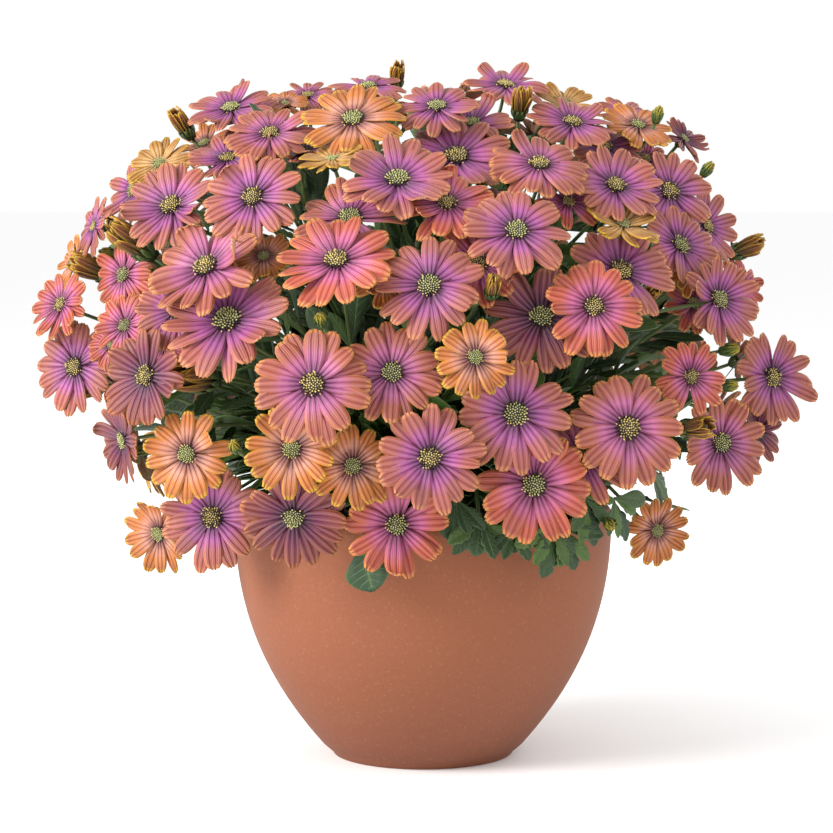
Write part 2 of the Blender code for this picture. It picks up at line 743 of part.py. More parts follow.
def stem_leaves(sprays, space, draw):
    """Leaves along the stems and the stalks."""
    for spray in sprays:
        for k in range(LEAVES_PER_SPRAY):
            for _ in range(LEAF_TRIES):
                if spray.blooms and draw.random() < 0.6:
                    path = draw.choice(spray.blooms).stalk
                    base = path[0].lerp(path[1], draw.uniform(0.15, 0.9))
                    outward = (path[1] - path[0]).normalized()
                else:
                    base = spray.point(draw.uniform(0.05, 1.0))
                    outward = spray.direction()
                around = draw.uniform(0.0, 2 * math.pi)
                aside = Vector((math.cos(around), math.sin(around), 0.0))
                away = Vector((base.x, base.y, 0.0)) * 8.0
                heading = (outward * 0.5 + aside * 0.8 + away).normalized()
                length = draw.uniform(*LEAF_LENGTHS)
                face = (Vector((0, 0, 1)) - heading * heading.z).normalized()
                leaf = Leaf(base, base + heading * length, face, draw.uniform(*LEAF_WIDTHS), LEAF_DROOP)
                shape = leaf_shape(leaf, ROOM)
                if not above_pot(shape[0]) or space.meets(shape, skip_owner=spray):
                    continue
                if space.meets(leaf_shape(leaf, ROOM, LEAF_FOOT)):
                    continue
                leaf.spray, leaf.stalk = spray, None
                spray.leaves.append(leaf)
                space.add(shape, spray, leaf)
                break


def plan_plant():
    """The whole plant: its sprays with the stalks, blooms and leaves they carry."""
    draw = random.Random(SEED)
    space = Space()
    sprays = plan_sprays(space)
    front = settle(front_blooms(draw), space, True)
    back = settle(back_blooms(draw, front), space, False)
    grow_stalks(front + back, sprays, space)
    hanging_leaves(sprays, space)
    stem_leaves(sprays, space, draw)
    return sprays


def make_material(name, colour, roughness):
    material = bpy.data.materials.new(name)
    material.use_nodes = True
    shader = material.node_tree.nodes["Principled BSDF"]
    shader.inputs["Base Color"].default_value = (*colour, 1.0)
    shader.inputs["Roughness"].default_value = roughness
    shader.inputs["Metallic"].default_value = 0.0
    return material


def add_object(name, mesh):
    thing = bpy.data.objects.new(name, mesh)
    bpy.context.scene.collection.objects.link(thing)
    return thing


def mesh_from(name, shape, slot):
    """A closed mesh with outward faces, all in one material slot."""
    corners, faces = shape
    bm = bmesh.new()
    points = [bm.verts.new(corner) for corner in corners]
    for face in faces:
        bm.faces.new([points[k] for k in face]).material_index = slot
    bmesh.ops.recalc_face_normals(bm, faces=bm.faces[:])
    mesh = bpy.data.meshes.new(name)
    bm.to_mesh(mesh)
    bm.free()
    return mesh


def join(base, pieces):
    """Fuses pieces into a base object by one union, and removes them."""
    group = bpy.data.collections.new(base.name + "_pieces")
    bpy.context.scene.collection.children.link(group)
    for piece in pieces:
        bpy.context.scene.collection.objects.unlink(piece)
        group.objects.link(piece)
    union = base.modifiers.new("fuse", "BOOLEAN")
    union.operation = "UNION"
    union.operand_type = "COLLECTION"
    union.collection = group
    union.solver = "EXACT"
    graph = bpy.context.evaluated_depsgraph_get()
    fused = bpy.data.meshes.new_from_object(base.evaluated_get(graph))
    base.modifiers.remove(union)
    base.data = fused
    for piece in pieces:
        bpy.data.objects.remove(piece)
    bpy.data.collections.remove(group)


def keep_largest(mesh):
    """Drops loose scraps and fills sealed hollows, by keeping the largest shell alone."""
    bm = bmesh.new()
    bm.from_mesh(mesh)
    seen, shells = set(), []
    for start in bm.verts:
        if start in seen:
            continue
        shell, stack = [], [start]
        seen.add(start)
        while stack:
            vertex = stack.pop()
            shell.append(vertex)
            for edge in vertex.link_edges:
                other = edge.other_vert(vertex)
                if other not in seen:
                    seen.add(other)
                    stack.append(other)
        shells.append(shell)
    shells.sort(key=len)
    for shell in shells[:-1]:
        bmesh.ops.delete(bm, geom=shell, context="VERTS")
    bm.to_mesh(mesh)
    bm.free()


def cut(base, cutters):
    """Cuts holes by one difference, and removes the cutters."""
    group = bpy.data.collections.new(base.name + "_cutters")
    bpy.context.scene.collection.children.link(group)
    for cutter in cutters:
        bpy.context.scene.collection.objects.unlink(cutter)
        group.objects.link(cutter)
    difference = base.modifiers.new("cut", "BOOLEAN")
    difference.operation = "DIFFERENCE"
    difference.operand_type = "COLLECTION"
    difference.collection = group
    difference.solver = "EXACT"
    graph = bpy.context.evaluated_depsgraph_get()
    result = bpy.data.meshes.new_from_object(base.evaluated_get(graph))
    base.modifiers.remove(difference)
    base.data = result
    for cutter in cutters:
        bpy.data.objects.remove(cutter)
    bpy.data.collections.remove(group)


def turned(name, profile):
    """A solid of revolution from a profile that starts and ends on the axis."""
    bm = bmesh.new()
    points = [bm.verts.new((radius, 0.0, z)) for radius, z in profile]
    edges = [bm.edges.new(pair) for pair in zip(points, points[1:])]
    bmesh.ops.spin(
        bm,
        geom=points + edges,
        axis=(0.0, 0.0, 1.0),
        cent=(0.0, 0.0, 0.0),
        dvec=(0.0, 0.0, 0.0),
        angle=2 * math.pi,
        steps=ROUND_STEPS,
        use_merge=True,
        use_normal_flip=False,
        use_duplicate=False,
    )
    bmesh.ops.remove_doubles(bm, verts=bm.verts[:], dist=1e-6)
    bmesh.ops.recalc_face_normals(bm, faces=bm.faces[:])
    mesh = bpy.data.meshes.new(name)
    bm.to_mesh(mesh)
    bm.free()
    return mesh


def upright(name, x, y, bottom, top, radius, sides):
    """An upright prism, as a cutter."""
    bm = bmesh.new()
    bmesh.ops.create_cone(
        bm, cap_ends=True, segments=sides, radius1=radius, radius2=radius, depth=top - bottom
    )
    bmesh.ops.translate(bm, verts=bm.verts[:], vec=(x, y, (bottom + top) / 2))
    mesh = bpy.data.meshes.new(name)
    bm.to_mesh(mesh)
    bm.free()
    return add_object(name, mesh)


def inner_radius(z):
    return pot_radius(z) - WALL


def make_pot():
    outer = [(FOOT_RADIUS - FOOT_BEVEL, 0.0), (FOOT_RADIUS, FOOT_BEVEL)]
    for share in (0.09, 0.21, 0.38, 0.60, 0.80):
        outer.append((pot_radius(POT_HEIGHT * share), POT_HEIGHT * share))
    lip = POT_RADIUS - WALL / 2
    for k in range(3):
        angle = math.pi * k / 2
        outer.append((lip + WALL / 2 * math.cos(angle), POT_HEIGHT - WALL / 2 * (1 - math.sin(angle))))
    inner = []
    for share in (0.72, 0.20):
        inner.append((inner_radius(POT_HEIGHT * share), POT_HEIGHT * share))
    inner.append((inner_radius(FLOOR) - 0.004, FLOOR))
    mesh = turned("pot", [(0.0, 0.0)] + outer + inner + [(0.0, FLOOR)])
    pot = add_object("pot", mesh)
    drains = []
    for k in range(DRAINS):
        around = 2 * math.pi * (k + 0.25) / DRAINS
        x, y = DRAIN_RING * math.cos(around), DRAIN_RING * math.sin(around)
        drains.append(upright("drain", x, y, -0.01, FLOOR + 0.01, DRAIN_RADIUS, 12))
    cut(pot, drains)
    pot.data.materials.clear()
    pot.data.materials.append(make_material("terracotta", (0.36, 0.15, 0.08), 0.85))
    return pot


def make_soil(sprays):
    bottom = FLOOR + CLEARANCE
    side = []
    for share in (0.20, 0.72):
        side.append((inner_radius(POT_HEIGHT * share) - CLEARANCE, POT_HEIGHT * share))
    rim = inner_radius(SOIL_TOP) - 2 * CLEARANCE
    top = [(rim, SOIL_TOP - 0.001), (0.084, SOIL_TOP)]
    first = (inner_radius(FLOOR) - 0.004 - CLEARANCE, bottom)
    mesh = turned("soil", [(0.0, bottom), first] + side + top + [(0.0, SOIL_TOP)])
    draw = random.Random(SEED + 1)
    for vertex in mesh.vertices:
        flat = math.hypot(vertex.co.x, vertex.co.y)
        if vertex.co.z > SOIL_TOP - 0.0005 and flat > 0.07:
            vertex.co.z += draw.uniform(-SOIL_LUMP, SOIL_LUMP)
    soil = add_object("soil", mesh)
    holes = []
    for spray in sprays:
        root = spray.stem[0]
        radius = STEM_RADIUS + CLEARANCE / math.cos(math.pi / HOLE_SIDES) + CLEARANCE
        bottom_of_hole = SOIL_TOP - HOLE_DEPTH
        top_of_cutter = SOIL_TOP + HOLE_DEPTH
        holes.append(upright("hole", root.x, root.y, bottom_of_hole, top_of_cutter, radius, HOLE_SIDES))
    cut(soil, holes)
    soil.data.materials.clear()
    soil.data.materials.append(make_material("potting_soil", (0.045, 0.028, 0.018), 0.95))
    return soil


def make_spray(spray, materials):
    """One leafy stem with all it carries, fused into one body."""
    name = f"spray_{spray.number:02d}"
    radii = [STEM_RADIUS, STEM_RADIUS, STEM_RADIUS * 0.92, STEM_RADIUS * 0.8]
    base = add_object(name, mesh_from(name, ring_tube(spray.stem, radii, STEM_SIDES), 0))
    pieces = []
    for bloom in spray.blooms:
        head = mesh_from("head", head_shape(bloom, 0.0, bloom.stalk), KINDS.index(bloom.kind))
        pieces.append(add_object("head", head))
    for leaf in spray.leaves:
        pieces.append(add_object("leaf", mesh_from("leaf", leaf_shape(leaf), 0)))
        if leaf.stalk:
            tube = ring_tube(leaf.stalk, [STALK_RADIUS] * len(leaf.stalk), STALK_SIDES)
            pieces.append(add_object("branch", mesh_from("branch", tube, 0)))
    for thing in [base] + pieces:
        thing.data.materials.clear()
        for material in materials:
            thing.data.materials.append(material)
    join(base, pieces)
    keep_largest(base.data)
    return base


def main():
    for thing in list(bpy.data.objects):
        bpy.data.objects.remove(thing)
    sprays = plan_plant()
    make_pot()
    make_soil(sprays)
    materials = [make_material(kind.name, kind.colour, 0.6) for kind in KINDS]
    for spray in sprays:
        make_spray(spray, materials)


main()
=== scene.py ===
"""The looks of an osteospermum in full bloom, in its round terracotta pot.

The plant is grown here by the same plan as its solids: sprays fan out from the soil, and every
bloom, bud and hanging leaf sits where the solids have it. Fine petals, florets, leaves and
stalks then take the solids' place, and the pot and the soil get their finer surfaces.
"""

from __future__ import annotations

import json
import logging
import math
import random
from dataclasses import dataclass, field
from enum import Enum
from typing import Callable, Iterator, Sequence

import bmesh
import bpy
from mathutils import Matrix, Vector, noise
from mathutils.bvhtree import BVHTree

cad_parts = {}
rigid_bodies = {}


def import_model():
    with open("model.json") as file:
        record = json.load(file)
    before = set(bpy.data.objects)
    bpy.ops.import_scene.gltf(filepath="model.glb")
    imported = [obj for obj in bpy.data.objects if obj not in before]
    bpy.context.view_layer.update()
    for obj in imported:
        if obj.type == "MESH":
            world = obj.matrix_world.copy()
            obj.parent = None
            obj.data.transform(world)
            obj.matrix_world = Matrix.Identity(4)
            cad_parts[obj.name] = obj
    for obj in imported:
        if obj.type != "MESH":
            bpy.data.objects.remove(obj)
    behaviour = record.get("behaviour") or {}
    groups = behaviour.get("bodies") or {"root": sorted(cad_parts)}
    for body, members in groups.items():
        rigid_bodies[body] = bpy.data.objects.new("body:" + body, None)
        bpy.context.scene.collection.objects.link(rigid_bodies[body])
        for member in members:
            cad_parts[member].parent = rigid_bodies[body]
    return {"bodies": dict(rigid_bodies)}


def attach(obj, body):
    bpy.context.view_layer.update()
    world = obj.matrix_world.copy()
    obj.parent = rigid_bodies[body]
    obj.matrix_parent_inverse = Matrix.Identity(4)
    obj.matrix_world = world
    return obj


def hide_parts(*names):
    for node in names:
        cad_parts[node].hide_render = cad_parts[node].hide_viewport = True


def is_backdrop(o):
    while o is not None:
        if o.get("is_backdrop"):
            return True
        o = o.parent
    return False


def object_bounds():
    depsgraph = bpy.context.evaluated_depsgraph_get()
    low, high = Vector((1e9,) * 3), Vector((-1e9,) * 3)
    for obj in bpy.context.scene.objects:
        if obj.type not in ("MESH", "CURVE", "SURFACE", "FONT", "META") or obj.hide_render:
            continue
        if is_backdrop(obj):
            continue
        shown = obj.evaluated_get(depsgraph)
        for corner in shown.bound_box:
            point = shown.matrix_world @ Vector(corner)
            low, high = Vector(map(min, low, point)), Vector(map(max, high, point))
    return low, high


LOG = logging.getLogger("osteospermum")

Shape = tuple[list[Vector], list[tuple[int, ...]]]
Colour = tuple[float, float, float]

# Angles, a direction, and the distance under which two points are one
TURN = 2 * math.pi
GOLDEN = math.pi * (3.0 - math.sqrt(5.0))
UP = Vector((0.0, 0.0, 1.0))
SAME_PLACE = 1e-6

# Pot, in metres
POT_HEIGHT = 0.155
POT_RADIUS = 0.1172
FOOT_RADIUS = 0.0565
POT_SWELL = 2.4
WALL = 0.009
FLOOR = 0.012
FOOT_BEVEL = 0.0015
DRAIN_RADIUS = 0.005
DRAIN_RING = 0.024
DRAINS = 3
CLEARANCE = 0.0004

# Soil
SOIL_TOP = 0.143
HOLE_DEPTH = 0.022

# Plant
SEED = 41
DOME_CENTRE = Vector((0.0, 0.0, 0.240))
DOME_ACROSS = 0.205
DOME_UP = 0.170
DOME_DOWN = 0.125
STEM_RADIUS = 0.0022
STEM_SIDES = 5
COLLAR = 0.003
BEND_OUT = 1.1
BEND_SHARE = 0.45
STALK_RADIUS = 0.00115
STALK_SIDES = 3
STALK_STRETCHES = 2
RIM_SIDES = 15
DISC_SIDES = 5
DISC_SHARE = 0.17
BLOOM_RISE = 0.0030
BLOOM_DROP = 0.0042
BLADE = 0.0012
HEAD_LENGTH = 2.0
HEAD_BEHIND = 0.35
FURLED_WIDE = 0.42
BUD_WIDE = 0.55
POT_MARGIN = 0.004

# The viewer from whose side the blooms on the front were placed
VIEWER = Vector((-0.004, -1.65, 0.355))
AIM = Vector((-0.004, 0.0, 0.210))
PICTURE_SIDE = 833
PICTURE_MIDDLE = 416.5
METRES_PER_PIXEL = 0.00062
VIEW_NEAR = 1.35
VIEW_FAR = 1.80
VIEW_STEP = 0.001

LAYER_BACK = (0.0, 0.012, 0.026)
SETTLE_STEP = 0.002
SETTLE_TRIES = 24
POT_SAMPLES = 8
ROOM = 0.0011
BOWS = (
    (0.02, 0.0), (-0.02, 0.0), (0.0, 0.02), (0.0, -0.02), (0.035, 0.0), (-0.035, 0.0), (0.0, 0.035),
)
BENDS = (0.030, 0.018, 0.045, 0.010, 0.006)
PULLS = (0.35, 0.15, 0.6)
SHARES = (1.0, 0.88, 0.76, 0.64, 0.52, 0.40, 0.28, 0.16)
NEAREST = 6
BLOOM_RADII = (0.024, 0.033)
FURLED_RADII = (0.011, 0.017)
BUD_RADIUS = 0.0065
BACK_TRIES = 420
BACK_SPACING = 0.040
BACK_DEPTH = 1.62
BACK_START = 0.12
BACK_REACH = (0.95, 1.04)
BACK_TILT = 0.22
BACK_LIFT = 0.35
BACK_LIFT_SPREAD = 0.18
LEAVES_PER_SPRAY = 3
LEAF_LENGTHS = (0.042, 0.060)
LEAF_WIDTHS = (0.013, 0.019)
LEAF_DROOP = 0.16
LEAF_FOOT = 0.2
LEAF_TRIES = 40
HANG_RADIUS = 0.142
HANG_OUT = 0.004
HANG_SHIFTS = (0.0, 0.006, 0.012, -0.005, 0.020, 0.030)
HANG_DROOP = 0.10
LEAF_HOLD = 0.004


class Kind(Enum):
    """What a flower head is: the colour of an open bloom, or a closed one."""

    MAUVE = "mauve"
    ROSE = "rose"
    CORAL = "coral"
    ORANGE = "orange"
    YELLOW = "yellow"
    PLUM = "plum"
    FURLED = "furled"
    BUD = "bud"

    @property
    def cup(self) -> float:
        """How far the petals' tips rise, by the bloom's radius."""
        lifts = {Kind.ROSE: 0.08, Kind.CORAL: 0.08, Kind.YELLOW: 0.12, Kind.PLUM: 0.12}
        return lifts.get(self, 0.10)

    @property
    def sides(self) -> int:
        """How many sides the plain solid of a closed head has."""
        return 4 if self is Kind.BUD else 5

    @property
    def closed(self) -> bool:
        """Whether the petals are still, or again, rolled together."""
        return self in (Kind.FURLED, Kind.BUD)


BACK_KINDS = (
    Kind.MAUVE, Kind.MAUVE, Kind.ROSE, Kind.CORAL, Kind.ORANGE, Kind.YELLOW,
    Kind.PLUM, Kind.ROSE, Kind.CORAL, Kind.FURLED, Kind.BUD,
)


@dataclass(frozen=True)
class Seen:
    """A bloom as seen from the front: the picture's column and row of its disc, its width in mm,
    how far it faces up and to the right, its kind, and how many layers back it sits."""

    column: float
    row: float
    across: float
    up: float
    side: float
    kind: Kind
    layer: int


@dataclass(frozen=True)
class Hanging:
    """A leaf over the rim: the picture's column and row of its base and tip, its width in mm."""

    column: float
    row: float
    tip_column: float
    tip_row: float
    across: float


SEEN: tuple[Seen, ...] = (
    Seen(231, 110, 53, 0.83, -0.15, Kind.MAUVE, 0),
    Seen(250, 119, 46, 0.80, 0.00, Kind.MAUVE, 1),
    Seen(270, 135, 53, 0.80, -0.05, Kind.ROSE, 0),
    Seen(185, 128, 24, 0.75, -0.50, Kind.FURLED, 1),
    Seen(205, 145, 38, 0.75, -0.30, Kind.ORANGE, 2),
    Seen(160, 165, 42, 0.60, -0.35, Kind.YELLOW, 0),
    Seen(228, 160, 48, 0.82, -0.15, Kind.MAUVE, 1),
    Seen(172, 207, 61, 0.55, -0.35, Kind.MAUVE, 0),
    Seen(253, 198, 58, 0.45, -0.20, Kind.MAUVE, 0),
    Seen(135, 190, 47, 0.35, -0.75, Kind.MAUVE, 1),
    Seen(96, 227, 38, 0.30, -0.85, Kind.MAUVE, 0),
    Seen(122, 230, 24, 0.50, -0.60, Kind.FURLED, 1),
    Seen(138, 245, 38, 0.55, -0.70, Kind.FURLED, 0),
    Seen(112, 255, 14, 0.30, -0.80, Kind.BUD, 0),
    Seen(98, 270, 34, 0.35, -0.85, Kind.FURLED, 0),
    Seen(75, 262, 36, 0.35, -0.85, Kind.ORANGE, 1),
    Seen(207, 268, 68, 0.60, -0.35, Kind.ROSE, 0),
    Seen(125, 275, 46, 0.20, -0.60, Kind.CORAL, 1),
    Seen(264, 258, 36, 0.70, -0.10, Kind.ORANGE, 1),
    Seen(178, 311, 50, 0.35, -0.30, Kind.MAUVE, 1),
    Seen(353, 121, 62, 0.75, -0.10, Kind.ORANGE, 0),
    Seen(368, 88, 48, 0.93, 0.00, Kind.MAUVE, 1),
    Seen(397, 80, 20, 0.90, 0.10, Kind.FURLED, 1),
    Seen(437, 108, 51, 0.82, 0.00, Kind.MAUVE, 0),
    Seen(285, 105, 30, 0.85, 0.00, Kind.ORANGE, 2),
    Seen(308, 97, 38, 0.85, 0.00, Kind.ROSE, 2),
    Seen(337, 262, 66, 0.70, -0.15, Kind.CORAL, 0),
    Seen(350, 219, 62, 0.75, -0.10, Kind.ROSE, 1),
    Seen(397, 181, 64, 0.75, 0.00, Kind.MAUVE, 0),
    Seen(447, 205, 56, 0.72, 0.05, Kind.CORAL, 0),
    Seen(456, 158, 68, 0.72, 0.05, Kind.MAUVE, 1),
    Seen(333, 161, 40, 0.92, -0.20, Kind.YELLOW, 1),
    Seen(300, 153, 48, 0.95, 0.00, Kind.PLUM, 2),
    Seen(429, 286, 61, 0.45, 0.00, Kind.MAUVE, 0),
    Seen(478, 264, 52, 0.40, 0.05, Kind.CORAL, 1),
    Seen(472, 125, 50, 0.85, 0.00, Kind.MAUVE, 2),
    Seen(505, 87, 54, 0.92, 0.10, Kind.MAUVE, 1),
    Seen(520, 108, 24, 0.85, 0.10, Kind.FURLED, 1),
    Seen(572, 124, 53, 0.80, 0.15, Kind.MAUVE, 0),
    Seen(564, 105, 40, 0.85, 0.10, Kind.YELLOW, 2),
    Seen(604, 149, 50, 0.78, 0.20, Kind.MAUVE, 1),
    Seen(637, 127, 46, 0.80, 0.30, Kind.ORANGE, 0),
    Seen(625, 115, 40, 0.85, 0.25, Kind.ROSE, 2),
    Seen(683, 140, 34, 0.60, 0.65, Kind.PLUM, 1),
    Seen(539, 166, 58, 0.80, 0.10, Kind.ROSE, 0),
    Seen(615, 187, 56, 0.70, 0.20, Kind.MAUVE, 0),
    Seen(669, 192, 55, 0.45, 0.30, Kind.MAUVE, 0),
    Seen(568, 203, 40, 0.60, 0.15, Kind.CORAL, 1),
    Seen(498, 212, 50, 0.85, 0.05, Kind.PLUM, 1),
    Seen(516, 232, 60, 0.60, 0.10, Kind.MAUVE, 0),
    Seen(593, 307, 56, 0.30, 0.15, Kind.CORAL, 0),
    Seen(620, 272, 63, 0.50, 0.25, Kind.MAUVE, 1),
    Seen(622, 226, 45, 0.80, 0.25, Kind.YELLOW, 0),
    Seen(679, 246, 54, 0.50, 0.50, Kind.MAUVE, 1),
    Seen(704, 226, 52, 0.40, 0.70, Kind.MAUVE, 1),
    Seen(492, 290, 20, 0.70, 0.10, Kind.FURLED, 1),
    Seen(541, 318, 64, 0.45, 0.10, Kind.PLUM, 1),
    Seen(645, 160, 36, 0.60, 0.30, Kind.CORAL, 2),
    Seen(718, 300, 53, 0.30, 0.50, Kind.MAUVE, 0),
    Seen(690, 272, 36, 0.50, 0.40, Kind.ORANGE, 1),
    Seen(649, 295, 22, 0.40, 0.30, Kind.FURLED, 1),
    Seen(692, 305, 40, 0.50, 0.40, Kind.CORAL, 1),
    Seen(740, 285, 38, 0.30, 0.70, Kind.CORAL, 2),
    Seen(742, 250, 26, 0.40, 0.80, Kind.FURLED, 1),
    Seen(62, 305, 44, 0.35, -0.60, Kind.CORAL, 0),
    Seen(76, 367, 57, 0.15, -0.45, Kind.MAUVE, 0),
    Seen(126, 326, 40, 0.30, -0.40, Kind.CORAL, 1),
    Seen(147, 376, 57, 0.15, -0.50, Kind.PLUM, 0),
    Seen(93, 388, 26, -0.10, -0.80, Kind.FURLED, 1),
    Seen(228, 321, 74, 0.55, -0.20, Kind.MAUVE, 0),
    Seen(200, 378, 40, 0.10, -0.70, Kind.FURLED, 1),
    Seen(125, 440, 50, -0.10, -0.85, Kind.PLUM, 0),
    Seen(188, 454, 53, 0.10, -0.30, Kind.ORANGE, 0),
    Seen(213, 517, 62, 0.10, -0.25, Kind.MAUVE, 1),
    Seen(160, 533, 48, -0.10, -0.55, Kind.ORANGE, 1),
    Seen(294, 516, 61, -0.35, -0.10, Kind.PLUM, 0),
    Seen(292, 449, 52, 0.20, -0.10, Kind.ORANGE, 0),
    Seen(353, 466, 48, 0.15, 0.00, Kind.ORANGE, 0),
    Seen(313, 385, 64, 0.30, -0.10, Kind.ROSE, 0),
    Seen(392, 373, 57, 0.25, 0.00, Kind.ROSE, 1),
    Seen(475, 358, 44, 0.30, 0.10, Kind.ORANGE, 0),
    Seen(430, 458, 60, 0.15, 0.00, Kind.MAUVE, 0),
    Seen(397, 524, 60, -0.10, 0.00, Kind.CORAL, 1),
    Seen(515, 414, 65, 0.20, 0.10, Kind.MAUVE, 1),
    Seen(534, 485, 64, 0.10, 0.10, Kind.CORAL, 0),
    Seen(583, 457, 57, 0.15, 0.15, Kind.ROSE, 1),
    Seen(627, 428, 65, 0.20, 0.20, Kind.ROSE, 0),
    Seen(690, 377, 44, 0.20, 0.35, Kind.CORAL, 0),
    Seen(771, 377, 58, 0.15, 0.55, Kind.MAUVE, 0),
    Seen(720, 443, 58, 0.10, 0.35, Kind.ROSE, 0),
    Seen(757, 432, 38, 0.10, 0.60, Kind.PLUM, 1),
    Seen(656, 530, 42, -0.10, 0.35, Kind.ORANGE, 0),
    Seen(385, 282, 36, 0.50, 0.00, Kind.ORANGE, 2),
    Seen(112, 345, 30, 0.30, -0.40, Kind.CORAL, 2),
    Seen(165, 345, 36, 0.30, -0.30, Kind.CORAL, 2),
    Seen(690, 428, 26, 0.10, 0.80, Kind.FURLED, 1),
    Seen(322, 322, 13, 0.60, -0.20, Kind.BUD, 0),
    Seen(236, 448, 13, 0.50, -0.20, Kind.BUD, 0),
    Seen(142, 451, 12, -0.10, -0.90, Kind.BUD, 0),
    Seen(297, 561, 13, -0.20, -0.10, Kind.BUD, 0),
    Seen(492, 549, 13, -0.20, 0.10, Kind.BUD, 0),
    Seen(609, 523, 13, -0.20, 0.20, Kind.BUD, 0),
    Seen(727, 350, 14, 0.20, 0.80, Kind.BUD, 0),
    Seen(727, 386, 12, 0.10, 0.85, Kind.BUD, 0),
    Seen(657, 117, 12, 0.90, 0.20, Kind.BUD, 0),
    Seen(706, 171, 12, 0.70, 0.50, Kind.BUD, 0),
)

HANGING: tuple[Hanging, ...] = (
    Hanging(360, 541, 371, 592, 26),
    Hanging(552, 528, 545, 578, 15),
    Hanging(562, 530, 577, 570, 12),
    Hanging(480, 519, 476, 556, 14),
    Hanging(512, 527, 515, 553, 9),
    Hanging(456, 499, 451, 541, 18),
    Hanging(584, 497, 598, 546, 13),
    Hanging(612, 498, 631, 541, 12),
    Hanging(650, 469, 669, 488, 10),
)


@dataclass(frozen=True)
class Ring:
    """A ring of sprays: how many, how far out they root, and how far out and high they fork."""

    count: int
    root: float
    fork: float
    height: float
    lean: float


RINGS = (
    Ring(1, 0.000, 0.004, 0.300, 0.0),
    Ring(6, 0.024, 0.058, 0.268, 0.7),
    Ring(14, 0.052, 0.086, 0.204, 1.45),
)


@dataclass(eq=False)
class Bloom:
    """A flower head or bud: where its disc is, which way it faces, and what it looks like."""

    place: Vector
    facing: Vector
    radius: float
    kind: Kind
    roll: float
    retreat: Vector
    curve: tuple[Vector, ...] = ()
    stalk: list[Vector] = field(default_factory=list)

    def __post_init__(self) -> None:
        """Makes the two directions unit ones."""
        self.facing = self.facing.normalized()
        self.retreat = self.retreat.normalized()

    def axes(self) -> tuple[Vector, Vector]:
        """Two directions across the bloom, turned by its roll.

        Returns:
            The first axis and the one square to it.
        """
        side = self.facing.orthogonal().normalized()
        other = self.facing.cross(side)
        turned = side * math.cos(self.roll) + other * math.sin(self.roll)
        return turned, self.facing.cross(turned)

    def spoke(self, angle: float) -> Vector:
        """A direction across the bloom at an angle from its first axis."""
        across, other = self.axes()
        return across * math.cos(angle) + other * math.sin(angle)

    def head_length(self) -> float:
        """How long a closed head is."""
        return self.radius * HEAD_LENGTH

    def head_width(self) -> float:
        """Half the thickness of a closed head."""
        return self.radius * (FURLED_WIDE if self.kind is Kind.FURLED else BUD_WIDE)

    def head_start(self, length: float) -> Vector:
        """Where a closed head of a length begins."""
        return self.place - self.facing * (HEAD_BEHIND * length)

    def neck(self) -> Vector:
        """Where the stalk ends behind the head."""
        behind = HEAD_BEHIND * self.head_length() if self.kind.closed else BLOOM_DROP
        return self.place - self.facing * behind


@dataclass(eq=False)
class Leaf:
    """A toothed blade from its base to its tip, with the direction its upper face looks."""

    base: Vector
    tip: Vector
    face: Vector
    width: float
    droop: float
    curve: tuple[Vector, ...] = ()

    def __post_init__(self) -> None:
        """Squares the face and the side to the blade's length."""
        along = (self.tip - self.base).normalized()
        self.side = along.cross(self.face).normalized()
        self.face = self.side.cross(along).normalized()


@dataclass(eq=False)
class Spray:
    """A leafy main stem with the blooms and leaves it carries."""

    number: int
    stem: list[Vector]
    heading: Vector
    taken: list[float] = field(default_factory=list)
    blooms: list[Bloom] = field(default_factory=list)
    leaves: list[Leaf] = field(default_factory=list)

    def point(self, share: float) -> Vector:
        """A point on the upper stem, from 0 at the bend to 1 at the fork."""
        return self.stem[2].lerp(self.stem[3], share)

    def direction(self) -> Vector:
        """The direction of the upper stem."""
        return (self.stem[3] - self.stem[2]).normalized()


def flat_direction(around: float) -> Vector:
    """The level direction at an angle round the pot's axis."""
    return Vector((math.cos(around), math.sin(around), 0.0))


def pot_radius(z: float) -> float:
    """Outer radius of the pot at a height."""
    rise = min(max(z / POT_HEIGHT, 0.0), 1.0)
    return FOOT_RADIUS + (POT_RADIUS - FOOT_RADIUS) * (1.0 - (1.0 - rise) ** POT_SWELL)


def view_ray(column: float, row: float) -> Vector:
    """Direction from the viewer through a pixel of the picture.

    Args:
        column: The pixel's column.
        row: The pixel's row.

    Returns:
        The direction, as a unit vector.
    """
    forward = AIM - VIEWER
    distance = forward.length
    forward.normalize()
    right = Vector((1.0, 0.0, 0.0))
    up = right.cross(forward)
    across = (column - PICTURE_MIDDLE) * METRES_PER_PIXEL
    rise = (PICTURE_MIDDLE - row) * METRES_PER_PIXEL
    return (forward * distance + right * across + up * rise).normalized()


def dome_value(place: Vector) -> float:
    """1 on the dome on which the front blooms sit, less inside it.

    Args:
        place: The place.

    Returns:
        The value, which grows with the distance.
    """
    offset = place - DOME_CENTRE
    height = DOME_UP if offset.z > 0 else DOME_DOWN
    flat = axis_distance(offset) / DOME_ACROSS
    return math.hypot(flat, offset.z / height)


def dome_normal(place: Vector) -> Vector:
    """Outward direction of the dome at a place.

    Args:
        place: The place.

    Returns:
        The direction, as a unit vector.
    """
    offset = place - DOME_CENTRE
    height = DOME_UP if offset.z > 0 else DOME_DOWN
    flat = DOME_ACROSS**2
    return Vector((offset.x / flat, offset.y / flat, offset.z / height**2)).normalized()


def axis_distance(place: Vector) -> float:
    """How far a place is from the pot's axis."""
    return math.hypot(place.x, place.y)


